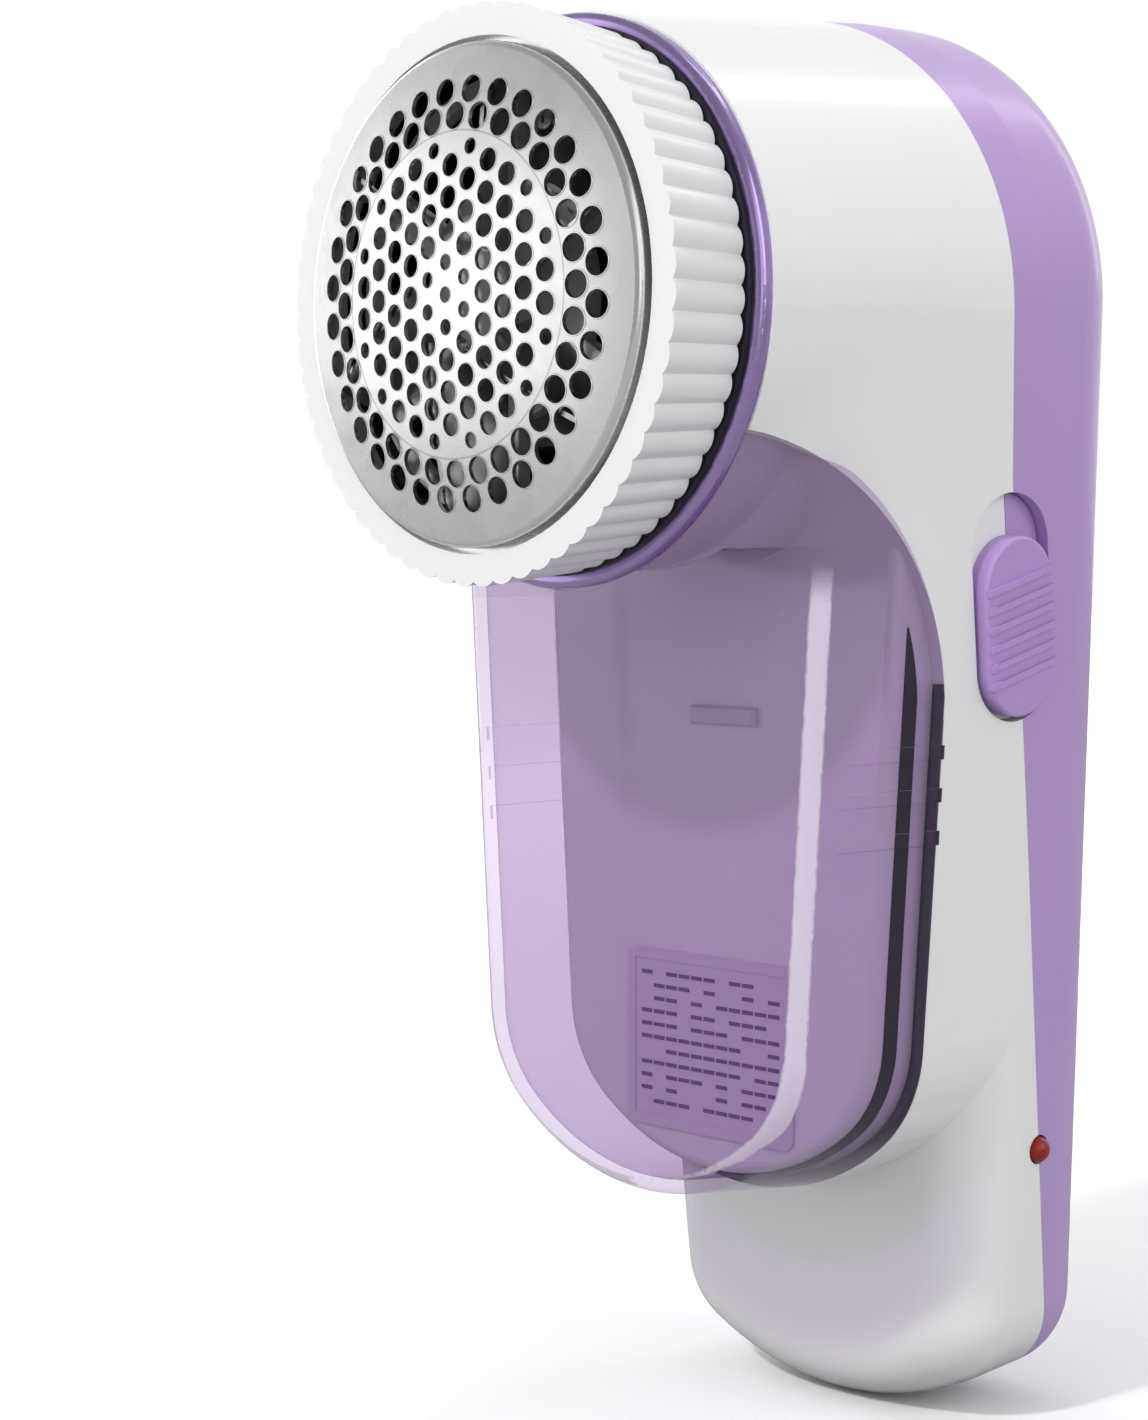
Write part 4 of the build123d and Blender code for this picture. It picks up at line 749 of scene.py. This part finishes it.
# ---------------------------------------------------------------- operators
class SHAVER_OT_housing(bpy.types.Operator):
    """Front and back shell of the housing with their moulded finish"""

    bl_idname = "shaver.housing"
    bl_label = "Housing"

    def execute(self, context):
        skin("front_shell", "housing_front", "shell")
        skin("rear_shell", "housing_back", "lilac")
        skin("trim_ring", "collar_trim", "trim")
        skin("seal_ring", "collar_seal", "rubber")
        return {"FINISHED"}


class SHAVER_OT_head(bpy.types.Operator):
    """Knurled lock ring and perforated foil"""

    bl_idname = "shaver.head"
    bl_label = "Shaving head"

    def execute(self, context):
        skin("lock_ring", "knurled_ring", "ring")
        skin("shaving_foil", "foil_sheet", "steel")
        lips = hole_lip_rule(context.scene.shaver_foil).make("foil_hole_lips")
        smooth(lips, 60)
        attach(lips, body_name("shaving_foil"))
        return {"FINISHED"}


class SHAVER_OT_bin(bpy.types.Operator):
    """Clear lint bin with painted highlights along its edges and a dark polished rear rim of
    painted shade
    """

    bl_idname = "shaver.bin"
    bl_label = "Lint bin"

    def execute(self, context):
        rim_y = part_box("lint_bin")[1].y - context.scene.shaver_bin.rim
        # the cut-off rear rim is painted shade, a dark strip along the bin's rear edge
        for name, key, front in (("clear_bin", "clear", False), ("bin_rear_painted_shade", "rim", True)):
            obj = merged_copy("lint_bin", name, ((0, rim_y, 0), (0, 1, 0), front))
            mark_bends(obj)
            paint(obj, finish_of(key))
            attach(obj, body_name("lint_bin"))
            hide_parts("lint_bin")
        return {"FINISHED"}


class SHAVER_OT_slider(bpy.types.Operator):
    """Power slider and lamp"""

    bl_idname = "shaver.slider"
    bl_label = "Slider and lamp"

    def execute(self, context):
        skin("power_slider", "thumb_slider", "slider")
        skin("charge_led", "lamp_dome", "lamp")
        return {"FINISHED"}


HEAD_AND_TIP = 0.0018       # what a screw's head and its clearances take of its length
SCREW_SINK = 0.0001         # the head's top below the end of the CAD screw


class SHAVER_OT_screws(bpy.types.Operator):
    """Cross-head screws in the wells of the back shell"""

    bl_idname = "shaver.screws"
    bl_label = "Housing screws"

    def execute(self, context):
        rule = screw_rule()
        lean = context.scene.shaver_housing.lean
        turn = Matrix.Rotation(lean, 4, "X")
        for number in range(1, 5):
            cad = f"housing_screw_{number}"
            low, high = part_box(cad)
            reach = (high.y - low.y) / math.cos(lean)
            screw = rule.make(cad + "_cross", Length=reach - HEAD_AND_TIP)
            top = middle(cad) + turn @ Vector((0, reach / 2 - SCREW_SINK, 0))
            screw.data.transform(Matrix.Translation(top) @ turn)
            smooth(screw, 30)
            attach(screw, body_name(cad))
            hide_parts(cad)
        return {"FINISHED"}


BOX_SINK = 0.00015          # the boxes' middle behind the front of the plate's box


class SHAVER_OT_plate(bpy.types.Operator):
    """Blank boxes on the rating plate"""

    bl_idname = "shaver.plate"
    bl_label = "Rating plate"

    def execute(self, context):
        low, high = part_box("rating_plate")
        boxes = plate_rule(low + Vector((0, BOX_SINK, 0)), high).make("rating_plate_boxes")
        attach(boxes, body_name("rating_plate"))
        return {"FINISHED"}


INNER_FINISHES = {
    # painted shade: the cutter chamber is near-black so that the foil's holes look dark
    "foil_clamp_ring": "cutter", "cutter_chamber": "dark", "lint_chute": "dark",
    "cutter_carrier": "cutter", "drive_hub": "hub", "bin_gasket": "rubber",
    "bin_catch": "catch", "rating_plate": "plate", "slide_switch": "dark",
    "switch_lever": "dark", "led_holder": "dark", "socket_tongue": "dark",
    "control_board": "board", "charge_board": "board", "battery_cell": "wrap",
    "battery_tab_top": "nickel", "battery_tab_bottom": "nickel", "charging_socket": "zinc",
    "motor_can": "zinc", "motor_shaft": "zinc", "motor_rotor": "core",
    "motor_magnet_upper": "magnet", "motor_magnet_lower": "magnet",
    "motor_bush_front": "bronze", "motor_bush_rear": "bronze", "motor_end_cap": "cap",
    "motor_sleeve": "rubber", "switch_guide": "guide",
}


class SHAVER_OT_inner(bpy.types.Operator):
    """Finishes of the pieces that keep their CAD shape"""

    bl_idname = "shaver.inner"
    bl_label = "Inner pieces"

    def execute(self, context):
        for name, obj in nodes.items():
            if obj.hide_render:
                continue
            key = INNER_FINISHES.get(name)
            if key is None:
                key = "blade" if name.startswith("cutter_blade") else "zinc"
            paint(obj, finish_of(key))
        return {"FINISHED"}


# ---------------------------------------------------------------- studio
def soft_box(name, place, target, size, power, along):
    """Soft box at a place, facing a target, with its long side along a direction."""
    data = bpy.data.lights.new(name, "AREA")
    data.energy = power
    data.shape = "RECTANGLE"
    data.size, data.size_y = size
    obj = bpy.data.objects.new(name, data)
    bpy.context.scene.collection.objects.link(obj)
    back = (Vector(place) - Vector(target)).normalized()
    side = Vector(along).cross(back).normalized()
    turn = Matrix((side, back.cross(side), back)).transposed()
    obj.matrix_world = Matrix.Translation(place) @ turn.to_4x4()
    return obj


UPRIGHT, DEEP = (0, 0, 1), (0, 1, 0)
# name, direction, width and height, part of the power, long side, whether gloss mirrors it
LAMPS = (
    ("overhead", (0.02, 0.68, 0.73), (0.13, 1.5), 0.21, DEEP, True),
    ("left_strip", (-1.0, 0.05, 0.05), (0.30, 1.2), 0.60, UPRIGHT, True),
    ("right_strip", (0.88, -0.47, 0.05), (0.50, 1.2), 0.28, UPRIGHT, True),
    ("right_top", (0.90, 0.25, 0.45), (0.60, 0.6), 0.34, UPRIGHT, True),
    ("front_low", (-0.80, -0.80, -0.02), (0.70, 0.7), 0.25, UPRIGHT, True),
    ("front_high", (0.05, -0.80, 0.62), (0.06, 0.06), 0.70, UPRIGHT, False),
)


class SHAVER_OT_stage(bpy.types.Operator):
    """Floor, room light, lamps and camera"""

    bl_idname = "shaver.stage"
    bl_label = "Stage"

    def execute(self, context):
        scene = context.scene
        values = scene.shaver_stage
        low, high = (Vector(corner) for corner in CAD_BOX)
        mid = (low + high) / 2
        self.camera(scene, values)
        self.room(scene, values)
        self.floor(values, low.z)
        for name, way, size, part, along, mirrored in LAMPS:
            place = mid + Vector(way).normalized() * values.reach
            lamp = soft_box(name, place, mid, size, values.key * part, along)
            lamp.visible_glossy = mirrored
        scene.view_settings.view_transform = "Standard"
        return {"FINISHED"}

    def camera(self, scene, values):
        data = bpy.data.cameras.new("camera")
        data.lens = values.lens
        data.sensor_width = 36.0
        data.clip_start = 0.01
        data.clip_end = 20.0
        camera = bpy.data.objects.new("camera", data)
        scene.collection.objects.link(camera)
        level = Vector((math.sin(values.turn), -math.cos(values.turn), 0)) * math.cos(values.rise)
        back = level + Vector((0, 0, math.sin(values.rise)))
        camera.location = HEAD_CENTRE + Vector(values.stand)
        camera.rotation_mode = "QUATERNION"
        camera.rotation_quaternion = (-back).to_track_quat("-Z", "Y")
        scene.camera = camera

    def room(self, scene, values):
        """White to the camera, a soft gradient as light, and another one in mirrors."""
        dusky_way, dusk_end = (0.50, -0.40, 0.75), 0.35
        low_end, high_end = -0.4, 0.7
        world = bpy.data.worlds.new("room")
        world.use_nodes = True
        tree = world.node_tree
        tree.nodes.clear()
        out = node(tree, "ShaderNodeOutputWorld")
        shown = node(tree, "ShaderNodeBackground", Strength=1.0)
        shown.inputs["Color"].default_value = (1, 1, 1, 1)
        light = node(tree, "ShaderNodeBackground", Strength=values.fill)
        place = node(tree, "ShaderNodeTexCoord")
        parts = node(tree, "ShaderNodeSeparateXYZ")
        link(tree, place.outputs["Generated"], parts.inputs["Vector"])
        height = ranged(tree, parts.outputs["Z"], values.low, 1.0, low_end, high_end)
        link(tree, height, light.inputs["Color"])
        mirrored = node(tree, "ShaderNodeBackground", Strength=1.0)
        side = node(tree, "ShaderNodeVectorMath", _operation="DOT_PRODUCT")
        side.inputs[1].default_value = dusky_way
        link(tree, place.outputs["Generated"], side.inputs[0])
        shade = ranged(tree, side.outputs["Value"], values.pale, values.dusk,
                       -dusk_end, dusk_end)
        link(tree, shade, mirrored.inputs["Color"])
        part = mixed(tree, rays(tree, "Is Glossy Ray"), light.outputs["Background"],
                     mirrored.outputs["Background"])
        whole = mixed(tree, rays(tree, "Is Camera Ray", "Is Transmission Ray"), part,
                      shown.outputs["Background"])
        link(tree, whole, out.inputs["Surface"])
        scene.world = world

    def floor(self, values, z):
        """White floor with the part's shadow, which glows more with distance."""
        half_side, sink, glow_start, glow_end = 4.0, 0.0002, 0.06, 0.9
        shape = bmesh.new()
        bmesh.ops.create_grid(shape, x_segments=2, y_segments=2, size=half_side)
        mesh = bpy.data.meshes.new("floor")
        shape.to_mesh(mesh)
        shape.free()
        floor = bpy.data.objects.new("floor", mesh)
        bpy.context.scene.collection.objects.link(floor)
        floor.location.z = z - sink
        material, tree = new_material("floor_white")
        out = node(tree, "ShaderNodeOutputMaterial")
        pale = node(tree, "ShaderNodeBsdfDiffuse")
        pale.inputs["Color"].default_value = opaque(values.floor)
        glow = node(tree, "ShaderNodeEmission")
        away = node(tree, "ShaderNodeVectorMath", _operation="LENGTH")
        link(tree, object_place(tree), away.inputs[0])
        strength = ranged(tree, away.outputs["Value"], values.near, values.far,
                          glow_start, glow_end)
        link(tree, strength, glow.inputs["Strength"])
        both = node(tree, "ShaderNodeAddShader")
        link(tree, pale.outputs["BSDF"], both.inputs[0])
        link(tree, glow.outputs["Emission"], both.inputs[1])
        bounce = node(tree, "ShaderNodeBsdfDiffuse")
        bounce.inputs["Color"].default_value = opaque([values.bounce] * 3)
        whole = mixed(tree, rays(tree, "Is Camera Ray", "Is Transmission Ray"),
                      bounce.outputs["BSDF"], both.outputs["Shader"])
        link(tree, whole, out.inputs["Surface"])
        paint(floor, material)


class SHAVER_PT_panel(bpy.types.Panel):
    """Lists the pieces that can be made again"""

    bl_label = "Shaver"
    bl_idname = "SHAVER_PT_panel"
    bl_space_type = "VIEW_3D"
    bl_region_type = "UI"
    bl_category = "Shaver"

    def draw(self, context):
        for item in STEPS:
            self.layout.operator(item.bl_idname)


STEPS = (
    SHAVER_OT_stage, SHAVER_OT_housing, SHAVER_OT_head, SHAVER_OT_bin,
    SHAVER_OT_slider, SHAVER_OT_screws, SHAVER_OT_plate, SHAVER_OT_inner,
)
SETTINGS = {
    "shaver_finish": ShaverFinish, "shaver_foil": ShaverFoil, "shaver_bin": ShaverBin,
    "shaver_housing": ShaverHousing, "shaver_stage": ShaverStage,
}


def register():
    for item in (*SETTINGS.values(), *STEPS, SHAVER_PT_panel):
        bpy.utils.register_class(item)
    for name, group in SETTINGS.items():
        setattr(bpy.types.Scene, name, PointerProperty(type=group))


def unregister():
    for name in SETTINGS:
        delattr(bpy.types.Scene, name)
    for item in reversed((*SETTINGS.values(), *STEPS, SHAVER_PT_panel)):
        bpy.utils.unregister_class(item)


def main():
    register()
    for item in STEPS:
        group, call = item.bl_idname.split(".")
        getattr(getattr(bpy.ops, group), call)()


if __name__ == "__main__":
    main()
